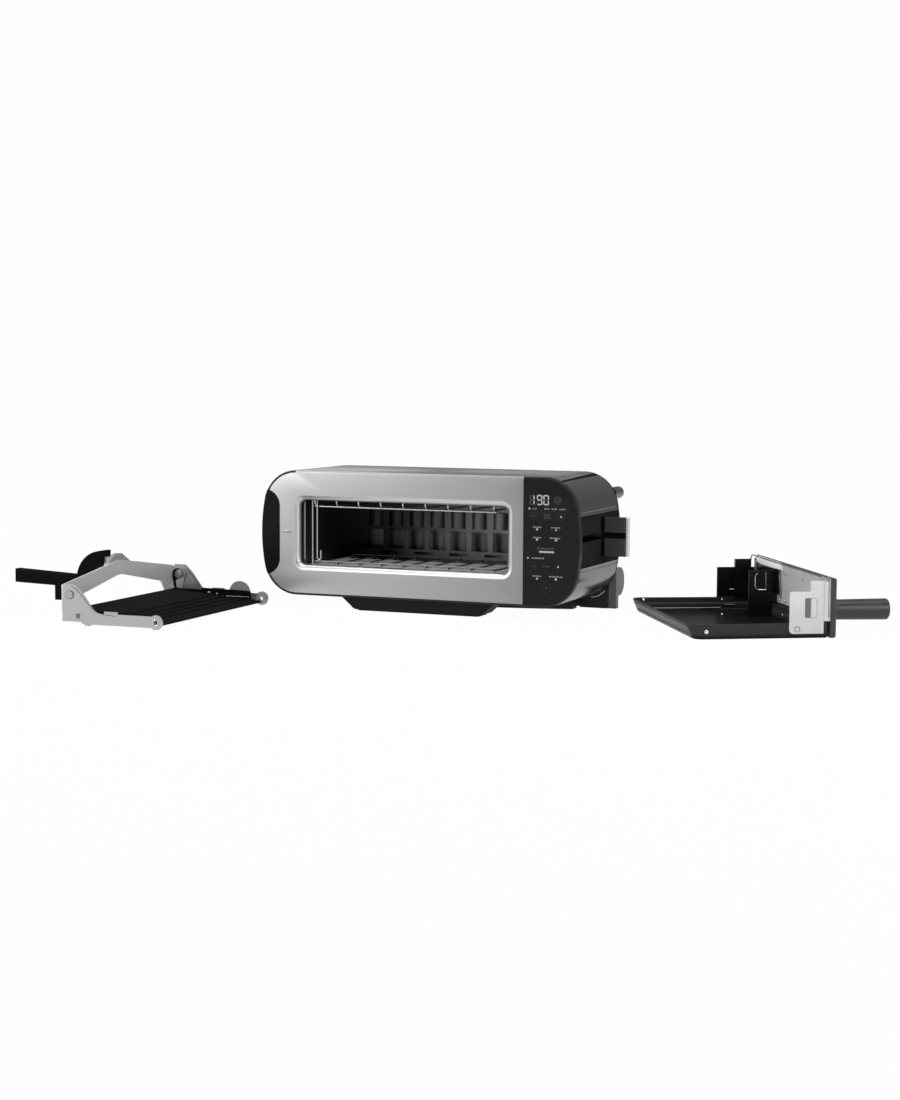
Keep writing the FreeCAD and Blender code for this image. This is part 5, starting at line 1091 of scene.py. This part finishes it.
def paper(name, colour, seen_as_white, mirrored_as_white):
    """Matt paper that takes shadows. A share of what the camera sees, and a smaller
    share of what mirrors see, is plain white."""
    finish, tree, shader = start_finish(name, colour, 0.9, mirror=0.0)
    seen = add_node(tree, "LightPath").outputs
    either = add_node(tree, "Math", {0: seen["Is Glossy Ray"], 1: seen["Is Transmission Ray"]},
                      operation="MAXIMUM")
    mirrored = add_node(tree, "Math", {0: either.outputs[0], 1: mirrored_as_white},
                        operation="MULTIPLY")
    direct = add_node(tree, "Math", {0: seen["Is Camera Ray"], 1: seen_as_white,
                                     2: mirrored.outputs[0]}, operation="MULTIPLY_ADD")
    glow = add_node(tree, "Emission", {"Strength": 1.0})
    mix = add_node(tree, "MixShader", {"Fac": direct.outputs[0], 1: shader.outputs["BSDF"],
                                       2: glow.outputs["Emission"]})
    tree.links.new(mix.outputs["Shader"], tree.nodes["Material Output"].inputs["Surface"])
    return finish


def stage_piece(name, points, finish):
    rows, columns = points.shape[:2]
    new_object(name, points, grid_faces(rows, columns, False), finish)


points = sweep()
stage_piece("studio_floor", points[:10], paper("floor_paper", 0.9, 0.975, 0.6))
stage_piece("studio_wall", points[9:], paper("wall_paper", 0.4, 0.985, 0.1))
wall_x, wall_z = np.meshgrid([-HALF_WIDTH, HALF_WIDTH], [-FLOOR_DROP, 3.2])
stage_piece("studio_front", np.stack([wall_x, wall_x * 0 + FLOOR_FRONT + 0.1, wall_z], -1),
            paper("dark_paper", 0.12, 1.0, 0.1))

# %% Lights and world
def softbox(name, place, aim, size, power):
    light = bpy.data.lights.new(name, "AREA")
    light.shape = "RECTANGLE"
    light.size, light.size_y = size
    light.energy = power
    toward = unit(np.subtract(aim, place))
    side = unit(np.cross(toward, [0, 0, 1.0]))
    stand_at(bpy.data.objects.new(name, light), place, side, np.cross(side, toward), toward)


softbox("top_light", (0.1, -0.3, 2.4), (0.05, 0.0, 0.1), (2.6, 1.6), 34)
softbox("left_light", (-1.9, -2.3, 0.9), (-0.1, 0.0, 0.1), (0.9, 1.3), 26)
softbox("right_light", (2.6, -1.0, 0.9), (0.1, 0.0, 0.1), (0.8, 1.4), 18)
world = bpy.data.worlds.new("room")
bpy.context.scene.world = world
world.use_nodes = True
room = world.node_tree
sky = room.nodes["Background"]
seen = add_node(room, "LightPath").outputs
mirrored = add_node(room, "Math", {0: seen["Is Glossy Ray"], 1: 0.25}, operation="MULTIPLY")
either = add_node(room, "Math", {0: seen["Is Camera Ray"], 1: mirrored.outputs[0]},
                  operation="MAXIMUM")
level = add_node(room, "MapRange", {"Value": either.outputs[0], "To Min": 0.4, "To Max": 1.0})
room.links.new(level.outputs["Result"], sky.inputs["Strength"])
sky.inputs["Color"].default_value = (1, 1, 1, 1)
bpy.context.scene.view_settings.view_transform = "Standard"
